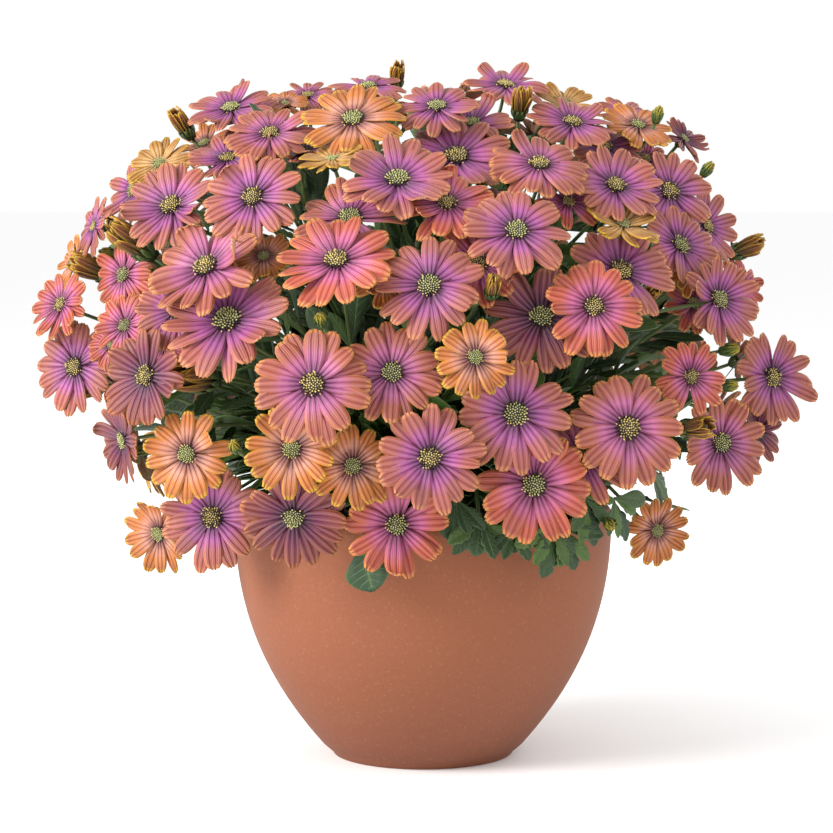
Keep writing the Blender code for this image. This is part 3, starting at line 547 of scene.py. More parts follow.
def first_on_ray(ray: Vector, measure: Callable[[Vector], float], limit: float) -> Vector:
    """Where a view ray first brings a measure down to a limit, or comes nearest to it.

    Args:
        ray: The ray's direction from the viewer.
        measure: What is measured at each place on it.
        limit: The value it has to come down to.

    Returns:
        The place on the ray.
    """
    best, best_value = VIEWER, math.inf
    reach = VIEW_NEAR
    while reach < VIEW_FAR:
        place = VIEWER + ray * reach
        value = measure(place)
        if value <= limit:
            return place
        if value < best_value:
            best, best_value = place, value
        reach += VIEW_STEP
    return best


def facing_from(up: float, side: float) -> Vector:
    """A direction towards the front that looks up and aside as far as asked."""
    flat = 1.0 - up * up - side * side
    return Vector((side, -math.sqrt(max(flat, 0.01)), up)).normalized()


def curve_points(curve: Sequence[Vector], count: int) -> list[Vector]:
    """Points along a curve given by its start, two pulls and its end.

    Args:
        curve: The four points that give the curve.
        count: Into how many stretches it is cut.

    Returns:
        The points, one more than the stretches.
    """
    start, start_pull, end_pull, end = curve
    points = []
    for i in range(count + 1):
        t = i / count
        s = 1.0 - t
        near, far = start_pull * (3 * s * s * t), end_pull * (3 * s * t * t)
        points.append(start * s**3 + near + far + end * t**3)
    return points


def ring_corners(
    path: Sequence[Vector], radii: Sequence[float], sides: int
) -> Iterator[list[Vector]]:
    """The rings of a tube, carried along its path without a twist.

    Args:
        path: The middle of the tube.
        radii: Its radius at each point of the path.
        sides: How many sides it has.

    Returns:
        The corners of one ring after the other.
    """
    across = (path[1] - path[0]).orthogonal().normalized()
    for i, place in enumerate(path):
        along = (path[min(i + 1, len(path) - 1)] - path[max(i - 1, 0)]).normalized()
        across = (across - along * across.dot(along)).normalized()
        other = along.cross(across)
        angles = (TURN * k / sides for k in range(sides))
        spokes = (across * math.cos(angle) + other * math.sin(angle) for angle in angles)
        yield [place + spoke * radii[i] for spoke in spokes]


def above_pot(path: Sequence[Vector]) -> bool:
    """Whether a path keeps clear of the pot and the soil.

    Args:
        path: The path's points.

    Returns:
        True if all of it is clear.
    """
    for before, after in zip(path, path[1:]):
        for k in range(POT_SAMPLES + 1):
            place = before.lerp(after, k / POT_SAMPLES)
            flat = axis_distance(place)
            if place.z < POT_HEIGHT + POT_MARGIN and flat < pot_radius(place.z) + POT_MARGIN:
                return False
    return True


def within_pot(leaf: Leaf) -> bool:
    """Whether a low leaf keeps between the soil and the pot's wall, or above the rim.

    Args:
        leaf: The leaf.

    Returns:
        True if all of it is clear.
    """
    length = (leaf.tip - leaf.base).length
    for k in range(POT_SAMPLES + 1):
        share = k / POT_SAMPLES
        place = leaf.base.lerp(leaf.tip, share) - leaf.face * (leaf.droop * length * share**2)
        flat = axis_distance(place) + leaf.width / 2
        if place.z < SOIL_TOP + POT_MARGIN:
            return False
        if place.z < POT_HEIGHT + POT_MARGIN and flat > pot_radius(place.z) - WALL - POT_MARGIN:
            return False
    return True


class PlainShapes:
    """The plain solids' shapes, against which the plan keeps everything clear."""

    @staticmethod
    def tube(path: Sequence[Vector], radius: float, sides: int) -> Shape:
        """A closed tube of few sides along a path.

        Args:
            path: The middle of the tube.
            radius: Its radius.
            sides: How many sides it has.

        Returns:
            Its corners and faces.
        """
        rings = ring_corners(path, [radius] * len(path), sides)
        corners = [corner for ring in rings for corner in ring]
        faces: list[tuple[int, ...]] = []
        for i in range(len(path) - 1):
            for k in range(sides):
                a, b = i * sides + k, i * sides + (k + 1) % sides
                faces.append((a, b, b + sides, a + sides))
        faces.append(tuple(reversed(range(sides))))
        faces.append(tuple(range(len(corners) - sides, len(corners))))
        return corners, faces

    @staticmethod
    def strip(low: list[int], high: list[int]) -> list[tuple[int, ...]]:
        """Faces between two closed rings of corners with equal or different counts.

        Args:
            low: The numbers of one ring's corners.
            high: The numbers of the other's.

        Returns:
            The faces.
        """
        if len(low) == len(high):
            return list(zip(low, low[1:] + low[:1], high[1:] + high[:1], high))
        faces: list[tuple[int, ...]] = []
        i = j = 0
        while i < len(low) or j < len(high):
            here, there = low[i % len(low)], high[j % len(high)]
            if j * len(low) <= i * len(high) and j < len(high) or i == len(low):
                faces.append((here, high[(j + 1) % len(high)], there))
                j += 1
            else:
                faces.append((here, low[(i + 1) % len(low)], there))
                i += 1
        return faces

    @classmethod
    def head(cls, bloom: Bloom, room: float) -> Shape:
        """The plain solid of a flower head, swollen by the room kept round it.

        Args:
            bloom: The flower head.
            room: The room kept round it.

        Returns:
            Its corners and faces.
        """
        if bloom.kind.closed:
            rings, tip = cls.closed_rings(bloom, room)
        else:
            rings, tip = cls.open_rings(bloom, room)
        ring = []
        for k in range(STALK_SIDES):
            spoke = bloom.spoke(TURN * k / STALK_SIDES)
            ring.append(bloom.neck() + spoke * STALK_RADIUS * 1.5 - bloom.facing * room)
        corners: list[Vector] = []
        numbers: list[list[int]] = []
        for each in [ring] + rings:
            numbers.append(list(range(len(corners), len(corners) + len(each))))
            corners += each
        faces: list[tuple[int, ...]] = [tuple(reversed(numbers[0]))]
        for low, high in zip(numbers, numbers[1:]):
            faces += cls.strip(low, high)
        corners.append(tip)
        last = numbers[-1]
        for k, number in enumerate(last):
            faces.append((number, last[(k + 1) % len(last)], len(corners) - 1))
        return corners, faces

    @staticmethod
    def open_rings(bloom: Bloom, room: float) -> tuple[list[list[Vector]], Vector]:
        """The rim and the disc's edge of an open bloom, and the disc's top.

        Args:
            bloom: The bloom.
            room: The room kept round it.

        Returns:
            The two rings, and the top.
        """
        radius = bloom.radius + room
        rim, disc = [], []
        for k in range(RIM_SIDES):
            lobe, part = divmod(k, 3)
            angle = TURN * (lobe + (0.0, 0.33, 0.67)[part]) / (RIM_SIDES // 3)
            lift = bloom.kind.cup * radius
            rim.append(bloom.place + bloom.spoke(angle) * radius + bloom.facing * lift)
        for k in range(DISC_SIDES):
            spoke = bloom.spoke(TURN * k / DISC_SIDES)
            up = bloom.facing * (0.5 * BLOOM_RISE + room)
            disc.append(bloom.place + spoke * radius * DISC_SHARE + up)
        return [rim, disc], bloom.place + bloom.facing * (BLOOM_RISE + room)

    @staticmethod
    def closed_rings(bloom: Bloom, room: float) -> tuple[list[list[Vector]], Vector]:
        """The rings of a closed head, a pointed egg of few sides, and its tip.

        Args:
            bloom: The head.
            room: The room kept round it.

        Returns:
            The three rings, and the tip.
        """
        sides = bloom.kind.sides
        length = bloom.head_length() + 2 * room
        thick = bloom.head_width()
        start = bloom.head_start(length)
        rings = []
        for share, wide in ((0.20, 0.80), (0.50, 1.0), (0.82, 0.55)):
            ring = []
            for k in range(sides):
                spoke = bloom.spoke(TURN * k / sides)
                ring.append(start + bloom.facing * length * share + spoke * (thick * wide + room))
            rings.append(ring)
        return rings, start + bloom.facing * length

    @staticmethod
    def leaf(leaf: Leaf, room: float, first: float = 0.0) -> Shape:
        """The plain solid of a leaf, an arched blade with two teeth a side.

        Args:
            leaf: The leaf.
            room: The room kept round it.
            first: The share of its length at which the shape starts.

        Returns:
            Its corners and faces.
        """
        along = leaf.tip - leaf.base
        half = leaf.width / 2 + room
        outline = ((first, 0.16), (0.46, 0.96), (0.60, 0.66), (0.79, 0.72))
        edge = list(outline) + [(1.0, 0.0)] + [(share, -wide) for share, wide in reversed(outline)]

        def spot(share: float, wide: float, lift: float) -> Vector:
            """A place on the blade."""
            sag = leaf.face * (-leaf.droop * along.length * share**2)
            return leaf.base + along * share + leaf.side * (wide * half) + sag + leaf.face * lift

        corners = [spot(share, wide, 0.0) for share, wide in edge]
        rim = len(corners)
        corners += [spot(0.48, 0.0, BLADE + room), spot(0.48, 0.0, -BLADE * 0.6 - room)]
        faces: list[tuple[int, ...]] = []
        for k in range(rim):
            after = (k + 1) % rim
            faces.append((rim, after, k))
            faces.append((rim + 1, k, after))
        return corners, faces


@dataclass(frozen=True)
class Placed:
    """Something that has its place: its middle, its reach, its faces, who carries it, its name."""

    middle: Vector
    reach: float
    tree: BVHTree
    owner: Spray | None
    name: object


class Space:
    """What has been placed so far, so that nothing crosses what another spray carries."""

    def __init__(self) -> None:
        """Starts empty."""
        self.things: list[Placed] = []

    @staticmethod
    def reach(shape: Shape) -> tuple[Vector, float]:
        """The middle of a shape, and how far its corners lie from it."""
        middle = sum(shape[0], Vector()) / len(shape[0])
        return middle, max((corner - middle).length for corner in shape[0])

    def add(self, shape: Shape, owner: Spray | None, name: object) -> None:
        """Records a shape."""
        middle, reach = self.reach(shape)
        self.things.append(Placed(middle, reach, BVHTree.FromPolygons(*shape), owner, name))

    def own(self, name: object, owner: Spray) -> None:
        """Makes a named thing belong to a spray.

        Args:
            name: The thing's name.
            owner: The spray that carries it from now on.
        """
        self.things = [
            Placed(each.middle, each.reach, each.tree, owner, name) if each.name is name else each
            for each in self.things
        ]

    def meets(self, shape: Shape, skip_owner: Spray | None = None, skip_name: object = None,
              heads_only: bool = False) -> bool:
        """Whether a shape crosses what has been placed.

        Args:
            shape: The corners and faces to try.
            skip_owner: A spray whose things don't count.
            skip_name: A thing that doesn't count.
            heads_only: Whether only flower heads count.

        Returns:
            True if any face crosses another.
        """
        middle, reach = self.reach(shape)
        tree = None
        for each in self.things:
            if each.name is not None and each.name is skip_name:
                continue
            if skip_owner is not None and each.owner is skip_owner:
                continue
            if heads_only and not isinstance(each.name, Bloom):
                continue
            if (each.middle - middle).length > each.reach + reach:
                continue
            if tree is None:
                tree = BVHTree.FromPolygons(*shape)
            if tree.overlap(each.tree):
                return True
        return False


class PlantPlan:
    """The whole plant's layout: its sprays with the stalks, blooms and leaves they carry."""

    def __init__(self) -> None:
        """Grows the plan in the same order, with the same draws, as the solids."""
        draw = random.Random(SEED)
        self.space = Space()
        self.sprays = self.plan_sprays()
        front = self.settle(self.front_blooms(draw), True)
        back = self.settle(self.back_blooms(draw, front), False)
        self.grow_stalks(front + back)
        self.hanging_leaves()
        self.stem_leaves(draw)

    def plan_sprays(self) -> list[Spray]:
        """The main stems, fanned out so that none crosses another.

        Returns:
            The sprays, the innermost first.
        """
        sprays: list[Spray] = []
        for ring in RINGS:
            for k in range(ring.count):
                around = TURN * (k + 0.5) / ring.count
                flat = flat_direction(around)
                root = flat * ring.root
                fork = flat * ring.fork + UP * ring.height
                heading = flat * math.sin(ring.lean) + UP * math.cos(ring.lean)
                bend = SOIL_TOP + BEND_SHARE * (fork.z - SOIL_TOP)
                stem = [
                    Vector((root.x, root.y, SOIL_TOP - HOLE_DEPTH + CLEARANCE)),
                    Vector((root.x, root.y, SOIL_TOP + COLLAR)),
                    Vector((root.x * BEND_OUT, root.y * BEND_OUT, bend)),
                    fork,
                ]
                spray = Spray(len(sprays) + 1, stem, heading)
                self.space.add(PlainShapes.tube(stem, STEM_RADIUS + ROOM, STEM_SIDES), spray, None)
                sprays.append(spray)
        return sprays

    @staticmethod
    def front_blooms(draw: random.Random) -> list[Bloom]:
        """The blooms seen from the front, in layers.

        Args:
            draw: The source of their rolls.

        Returns:
            The blooms, the front layer first.
        """
        found = []
        for seen in sorted(SEEN, key=lambda each: each.layer):
            ray = view_ray(seen.column, seen.row)
            place = first_on_ray(ray, dome_value, 1.0) + ray * LAYER_BACK[seen.layer]
            facing = facing_from(seen.up, seen.side)
            roll = draw.uniform(0.0, TURN)
            found.append(Bloom(place, facing, seen.across / 2000, seen.kind, roll, ray))
        return found

    @staticmethod
    def back_blooms(draw: random.Random, front: list[Bloom]) -> list[Bloom]:
        """Blooms on the sides and the back that the front view hides, spread evenly.

        Args:
            draw: The source of their places, kinds and sizes.
            front: The blooms that are there already.

        Returns:
            The new blooms.
        """
        found: list[Bloom] = []
        for i in range(BACK_TRIES):
            height = 1.0 - BACK_DEPTH * (i + 0.5) / BACK_TRIES
            around = GOLDEN * i
            flat = math.sqrt(1.0 - height * height)
            direction = Vector((flat * math.cos(around), flat * math.sin(around), height))
            if direction.y < BACK_START:
                continue
            tall = DOME_UP if height > 0 else DOME_DOWN
            sized = Vector(
                (direction.x * DOME_ACROSS, direction.y * DOME_ACROSS, direction.z * tall))
            place = DOME_CENTRE + sized * draw.uniform(*BACK_REACH)
            near = min((place - bloom.place).length for bloom in front + found)
            if near < BACK_SPACING:
                continue
            kind = draw.choice(BACK_KINDS)
            outward = dome_normal(place)
            aside, ahead = draw.gauss(0, BACK_TILT), draw.gauss(0, BACK_TILT)
            tilt = Vector((aside, ahead, BACK_LIFT + draw.gauss(0, BACK_LIFT_SPREAD)))
            radius = draw.uniform(*BLOOM_RADII)
            if kind is Kind.BUD:
                radius = BUD_RADIUS
            if kind is Kind.FURLED:
                radius = draw.uniform(*FURLED_RADII)
            roll = draw.uniform(0.0, TURN)
            found.append(Bloom(place, outward + tilt, radius, kind, roll, -outward))
        return found

    def settle(self, blooms: list[Bloom], keep_all: bool) -> list[Bloom]:
        """Moves each bloom back until it clears the ones before it.

        Args:
            blooms: The blooms, the ones that stay in front first.
            keep_all: Whether a bloom that finds no room is kept all the same.

        Returns:
            The blooms that are kept.
        """
        kept = []
        for bloom in blooms:
            for _ in range(SETTLE_TRIES):
                if not self.space.meets(PlainShapes.head(bloom, ROOM)):
                    break
                bloom.place = bloom.place + bloom.retreat * SETTLE_STEP
            else:
                if not keep_all:
                    continue
            self.space.add(PlainShapes.head(bloom, ROOM), None, bloom)
            kept.append(bloom)
        return kept

    def stalk_curves(
        self, end: Vector, facing: Vector
    ) -> Iterator[tuple[Spray, float, tuple[Vector, ...]]]:
        """Possible stalks to an end that faces a direction, the most natural ones first.

        Args:
            end: Where the stalk ends.
            facing: The direction in which it ends.

        Returns:
            Each spray, the place on its stem, and the curve from there.
        """
        outward = (end - DOME_CENTRE).normalized()
        aside = outward.cross(UP).normalized()
        across = outward.cross(aside)
        nearest = sorted(self.sprays, key=lambda spray: -outward.dot(spray.heading))[:NEAREST]
        bows = [Vector()] + [aside * x + across * z for x, z in BOWS]
        for bow in bows:
            for bend in BENDS:
                for spray in nearest:
                    for share in SHARES:
                        start = spray.point(share)
                        gap = (end - start).length
                        for pull in PULLS:
                            leave = spray.direction() * 0.6 + UP * 0.4
                            start_pull = start + leave * (gap * pull) + bow
                            end_pull = end - facing * bend + bow * 0.5
                            yield spray, share, (start, start_pull, end_pull, end)

    def find_stalk(
        self, end: Vector, facing: Vector, name: object
    ) -> tuple[Spray, tuple[Vector, ...]] | None:
        """The first curve that clears all else, or all that other sprays carry.

        Args:
            end: Where the stalk ends.
            facing: The direction in which it ends.
            name: The bloom it carries, which doesn't stand in its way.

        Returns:
            The spray and the curve, or None if no curve is clear.
        """
        for strict, room in ((True, ROOM), (False, ROOM), (False, 0.2 * ROOM)):
            for spray, share, curve in self.stalk_curves(end, facing):
                path = curve_points(curve, STALK_STRETCHES)
                if strict and share in spray.taken or not above_pot(path):
                    continue
                own = None if strict else spray
                free = [path[0].lerp(path[1], 0.3 if strict else 0.0)] + path[1:]
                upper = PlainShapes.tube(free, STALK_RADIUS + room, STALK_SIDES)
                if self.space.meets(upper, own, name):
                    continue
                if strict:
                    root = PlainShapes.tube(path[:2], STALK_RADIUS + room, STALK_SIDES)
                    if self.space.meets(root, spray, name):
                        continue
                spray.taken.append(share)
                stalk = PlainShapes.tube(path, STALK_RADIUS + ROOM, STALK_SIDES)
                self.space.add(stalk, spray, None)
                return spray, curve
        return None

    def grow_stalks(self, blooms: list[Bloom]) -> None:
        """Gives each bloom a stalk from a spray, and drops those that no clear stalk can reach.

        Args:
            blooms: The blooms, which are served from the inside out.
        """
        for bloom in sorted(blooms, key=lambda bloom: round(dome_value(bloom.place), 2)):
            found = self.find_stalk(bloom.neck(), bloom.facing, bloom)
            if found is None:
                continue
            spray, bloom.curve = found
            spray.blooms.append(bloom)
            self.space.own(bloom, spray)

    def hanging_leaves(self) -> None:
        """Leaves over the rim at the front, each on its own short branch."""
        for hanging in HANGING:
            base_ray = view_ray(hanging.column, hanging.row)
            tip_ray = view_ray(hanging.tip_column, hanging.tip_row)
            base = first_on_ray(base_ray, axis_distance, HANG_RADIUS)
            tip = first_on_ray(tip_ray, axis_distance, HANG_RADIUS + HANG_OUT)
            outward = Vector((base.x, base.y, 0.0)).normalized()
            for out in HANG_SHIFTS:
                shift = outward * out
                leaf = Leaf(base + shift, tip + shift, outward, hanging.across / 1000, HANG_DROOP)
                shape = PlainShapes.leaf(leaf, ROOM)
                if self.space.meets(shape) or not above_pot(shape[0]):
                    continue
                along = (leaf.tip - leaf.base).normalized()
                end = leaf.base + along * LEAF_HOLD
                found = self.find_stalk(end, (along + outward * 0.8).normalized(), None)
                if found is None:
                    continue
                spray, leaf.curve = found
                spray.leaves.append(leaf)
                self.space.add(shape, spray, leaf)
                break

    def stem_leaves(self, draw: random.Random) -> None:
        """Leaves along the stems and the stalks, at the places of the solids' own leaves.

        Args:
            draw: The source of their places and shapes.
        """
        for spray in self.sprays:
            for _ in range(LEAVES_PER_SPRAY):
                for _ in range(LEAF_TRIES):
                    leaf = self.try_leaf(spray, draw)
                    shape = PlainShapes.leaf(leaf, ROOM)
                    if not above_pot(shape[0]) or self.space.meets(shape, skip_owner=spray):
                        continue
                    if self.space.meets(PlainShapes.leaf(leaf, ROOM, LEAF_FOOT)):
                        continue
                    spray.leaves.append(leaf)
                    self.space.add(shape, spray, leaf)
                    break

    @staticmethod
    def try_leaf(spray: Spray, draw: random.Random) -> Leaf:
        """A leaf drawn at a place on a spray's stalks or stem.

        Args:
            spray: The spray that carries it.
            draw: The source of its place and shape.

        Returns:
            The leaf, wherever it happens to reach.
        """
        if spray.blooms and draw.random() < 0.6:
            path = curve_points(draw.choice(spray.blooms).curve, STALK_STRETCHES)
            base = path[0].lerp(path[1], draw.uniform(0.15, 0.9))
            outward = (path[1] - path[0]).normalized()
        else:
            base = spray.point(draw.uniform(0.05, 1.0))
            outward = spray.direction()
        around = draw.uniform(0.0, TURN)
        aside = flat_direction(around)
        away = Vector((base.x, base.y, 0.0)) * 8.0
        heading = (outward * 0.5 + aside * 0.8 + away).normalized()
        length = draw.uniform(*LEAF_LENGTHS)
        face = (UP - heading * heading.z).normalized()
        return Leaf(base, base + heading * length, face, draw.uniform(*LEAF_WIDTHS), LEAF_DROOP)


def srgb(red: int, green: int, blue: int) -> Colour:
    """A colour as seen, from 0 to 255, made linear.

    Args:
        red: Its red.
        green: Its green.
        blue: Its blue.

    Returns:
        The linear colour, from 0 to 1.
    """
    def line(level: int) -> float:
        """One channel made linear."""
        share = level / 255
        return share / 12.92 if share <= 0.04045 else ((share + 0.055) / 1.055) ** 2.4
    return line(red), line(green), line(blue)


def blend(first: Colour, second: Colour, share: float) -> Colour:
    """A colour between two."""
    return tuple(a + (b - a) * share for a, b in zip(first, second))


def scaled(colour: Colour, factor: float) -> Colour:
    """A colour made darker or lighter."""
    return tuple(min(max(part * factor, 0.0), 1.0) for part in colour)


DISC_GOLD = srgb(228, 206, 126)
DISC_GREEN = srgb(206, 208, 138)
DISC_RING = srgb(44, 18, 34)
DISC_FOOT = srgb(30, 10, 24)
PALE_DISC_FOOT = srgb(64, 66, 34)
# Petal backs: partly their own paler colour, partly painted light that shines through the petals
PETAL_BACK_AND_LIGHT_THROUGH = srgb(228, 172, 138)
# Dark grooves: partly the petals' own vein colour, partly painted shade in the grooves
GROOVE_VEIN_AND_SHADE = (0.060, 0.008, 0.040)
PETAL_VEIN = (0.10, 0.02, 0.03)
# Painted highlight on the ridge tops of the petals
CREST_HIGHLIGHT = (0.75, 0.46, 0.46)
FLORET_SPECK = (0.10, 0.06, 0.02)

LEAF_DARK, LEAF_BRIGHT = srgb(26, 56, 20), srgb(84, 116, 38)
HANGING_DARK, HANGING_BRIGHT = srgb(24, 54, 26), srgb(46, 80, 36)
BRACT_DARK, BRACT_BRIGHT = srgb(52, 78, 34), srgb(86, 104, 48)
# Painted shade: a near-black green laid in noise patches over the leaves
LEAF_PAINTED_SHADE = (0.010, 0.028, 0.006)
LEAF_RIB = (0.13, 0.22, 0.07)
# Painted highlight along the leaves' edges
LEAF_EDGE_HIGHLIGHT = (0.24, 0.34, 0.14)
# Painted shade: a dark green laid in noise patches over the stalks and cups
STALK_PAINTED_SHADE = (0.03, 0.05, 0.012)
BARK, STALK_GREEN, STALK_FRESH = srgb(78, 74, 46), srgb(64, 84, 40), srgb(98, 116, 56)

CLAY_DARK, CLAY_LIGHT = srgb(124, 62, 27), srgb(146, 78, 40)
# Painted shade: the darker clay laid over the pot towards its foot
CLAY_FOOT_SHADE = srgb(92, 44, 24)
CLAY_LINE = srgb(126, 70, 46)
CLAY_GRAIN = srgb(206, 150, 120)
CLAY_DOT = srgb(214, 170, 140)
SOIL_DARK, SOIL_LIGHT = (0.012, 0.008, 0.005), (0.075, 0.045, 0.028)
FLOOR_WHITE = (0.96, 0.96, 0.96)


@dataclass(frozen=True)
class PetalFinish:
    """A petal's colours from the disc outwards, and the colour of its thin edge."""

    ring: Colour
    inner: Colour
    middle: Colour
    outer: Colour
    edge: Colour

    def at(self, along: float) -> Colour:
        """The petal's colour at a share of its length.

        Args:
            along: The share, from 0 at the disc to 1 at the tip.

        Returns:
            The colour.
        """
        stops = (0.0, 0.13, 0.24, 0.38, 0.63, 0.90, 1.0)
        dusk, inside = blend(self.ring, self.inner, 0.15), blend(self.ring, self.inner, 0.50)
        colours = (self.ring, dusk, inside, self.inner, self.middle, self.outer, self.edge)
        for k in range(len(stops) - 1):
            if along <= stops[k + 1]:
                share = (along - stops[k]) / (stops[k + 1] - stops[k])
                return blend(colours[k], colours[k + 1], share)
        return colours[-1]


PETALS = {
    Kind.MAUVE: PetalFinish(
        srgb(58, 4, 64), srgb(153, 70, 134), srgb(151, 77, 74), srgb(151, 76, 56),
        srgb(196, 126, 78)),
    Kind.ROSE: PetalFinish(
        srgb(82, 10, 74), srgb(169, 85, 132), srgb(154, 78, 59), srgb(144, 67, 48),
        srgb(204, 134, 68)),
    Kind.CORAL: PetalFinish(
        srgb(92, 14, 70), srgb(180, 84, 130), srgb(173, 75, 53), srgb(160, 65, 39),
        srgb(210, 134, 60)),
    Kind.ORANGE: PetalFinish(
        srgb(82, 24, 36), srgb(196, 132, 109), srgb(186, 105, 31), srgb(160, 87, 18),
        srgb(214, 162, 22)),
    Kind.YELLOW: PetalFinish(
        srgb(172, 132, 76), srgb(192, 147, 79), srgb(158, 107, 28), srgb(158, 106, 13),
        srgb(220, 178, 26)),
    Kind.PLUM: PetalFinish(
        srgb(38, 2, 42), srgb(97, 20, 60), srgb(113, 45, 47), srgb(124, 53, 36),
        srgb(172, 102, 50)),
    Kind.FURLED: PetalFinish(
        srgb(48, 64, 22), srgb(80, 72, 26), srgb(122, 80, 26), srgb(156, 88, 30),
        srgb(212, 166, 42)),
    Kind.BUD: PetalFinish(
        srgb(62, 92, 32), srgb(88, 116, 36), srgb(116, 132, 38), srgb(150, 148, 40),
        srgb(188, 164, 48)),
}
PETAL_RIDGES = 3
LEAF_VEINS = 8
STRIPES = {Kind.FURLED: srgb(62, 38, 20), Kind.BUD: srgb(66, 92, 32)}


class Wire:
    """A shader value that can be added, multiplied and compared like a number."""

    def __init__(self, tree: bpy.types.NodeTree, socket: bpy.types.NodeSocket) -> None:
        """Wraps a socket of a node tree."""
        self.tree = tree
        self.socket = socket

    def math(self, operation: str, other: Wire | float | None = None, swap: bool = False) -> Wire:
        """One Math node on this value and another.

        Args:
            operation: What the node does.
            other: The second value, if it has one.
            swap: Whether the other value comes first.

        Returns:
            The node's result.
        """
        node = self.tree.nodes.new("ShaderNodeMath")
        node.operation = operation
        for number, value in enumerate((other, self) if swap else (self, other)):
            if isinstance(value, Wire):
                self.tree.links.new(value.socket, node.inputs[number])
            elif value is not None:
                node.inputs[number].default_value = value
        return Wire(self.tree, node.outputs[0])

    def __add__(self, other: Wire | float) -> Wire:
        """A sum."""
        return self.math("ADD", other)

    def __sub__(self, other: Wire | float) -> Wire:
        """A difference."""
        return self.math("SUBTRACT", other)

    def __rsub__(self, other: float) -> Wire:
        """A number less this value."""
        return self.math("SUBTRACT", other, True)

    def __mul__(self, other: Wire | float) -> Wire:
        """A product."""
        return self.math("MULTIPLY", other)

    __radd__ = __add__
    __rmul__ = __mul__

    def power(self, exponent: float) -> Wire:
        """This value to a power."""
        return self.math("POWER", exponent)

    def size(self) -> Wire:
        """This value without its sign."""
        return self.math("ABSOLUTE")

    def cosine(self) -> Wire:
        """The cosine of this value."""
        return self.math("COSINE")

    def wave(self, count: int) -> Wire:
        """A wave that runs from 1 to 0 and back so many times while this value grows by 1."""
        return ((self * (TURN * count)).cosine() + 1.0) * 0.5


class Paint:
    """Builds one material's nodes."""

    def __init__(self, name: str, roughness: float) -> None:
        """Starts a material with a Principled shader.

        Args:
            name: The material's name.
            roughness: How matte it is, the same all over.
        """
        self.material = bpy.data.materials.new(name)
        self.material.use_nodes = True
        self.tree = self.material.node_tree
        self.shader = self.tree.nodes["Principled BSDF"]
        self.shader.inputs["Roughness"].default_value = roughness
        self.shader.inputs["Metallic"].default_value = 0.0

    def node(
        self, kind: str, inputs: dict[int | str, object] | None = None, output: int | str = 0,
        **settings: object
    ) -> Wire:
        """Adds a node.

        Args:
            kind: The node's type.
            inputs: Values or wires, by socket.
            output: Which output is wanted.
            **settings: The node's own settings, which are set first.

        Returns:
            The wanted output.
        """
        node = self.tree.nodes.new(kind)
        for key, value in settings.items():
            setattr(node, key, value)
        for key, value in (inputs or {}).items():
            if isinstance(value, Wire):
                self.tree.links.new(value.socket, node.inputs[key])
            else:
                node.inputs[key].default_value = value
        return Wire(self.tree, node.outputs[output])

    def mix(self, share: Wire | float, first: Wire | Colour, second: Wire | Colour) -> Wire:
        """A colour between two.

        Args:
            share: How much of the second there is.
            first: The first colour.
            second: The second colour.

        Returns:
            The mixed colour.
        """
        values = [value if isinstance(value, Wire) else (*value, 1.0) for value in (first, second)]
        inputs = {0: share, 6: values[0], 7: values[1]}
        return self.node("ShaderNodeMix", inputs, 2, data_type="RGBA", blend_type="MIX")

    def noise(self, scale: float, detail: float, where: Wire) -> Wire:
        """Fine variation, about 0.5 in the mean."""
        inputs = {"Vector": where, "Scale": scale, "Detail": detail}
        return self.node("ShaderNodeTexNoise", inputs, "Fac")

    def place(self) -> Wire:
        """A point's place on the object, in metres."""
        return self.node("ShaderNodeTexCoord", output="Object")

    def across_and_along(self) -> tuple[Wire, Wire]:
        """The two coordinates of the piece's own map.

        Returns:
            The coordinate across the piece, and the one along it.
        """
        both = self.node("ShaderNodeUVMap", output="UV", uv_map="UVMap")
        split = self.node("ShaderNodeSeparateXYZ", {0: both}, "X")
        return split, Wire(self.tree, split.socket.node.outputs["Y"])

    def attribute(self, name: str) -> Wire:
        """A colour kept on the mesh."""
        return self.node("ShaderNodeAttribute", output="Color", attribute_name=name)

    def colour(self, wire: Wire) -> None:
        """Feeds the base colour."""
        self.tree.links.new(wire.socket, self.shader.inputs["Base Color"])

    def relief(self, height: Wire, depth: float) -> None:
        """Feeds a bump of a depth in metres.

        Args:
            height: The height, from 0 to 1.
            depth: The depth.
        """
        inputs = {"Height": height, "Distance": depth, "Strength": 1.0}
        bump = self.node("ShaderNodeBump", inputs, "Normal")
        self.tree.links.new(bump.socket, self.shader.inputs["Normal"])


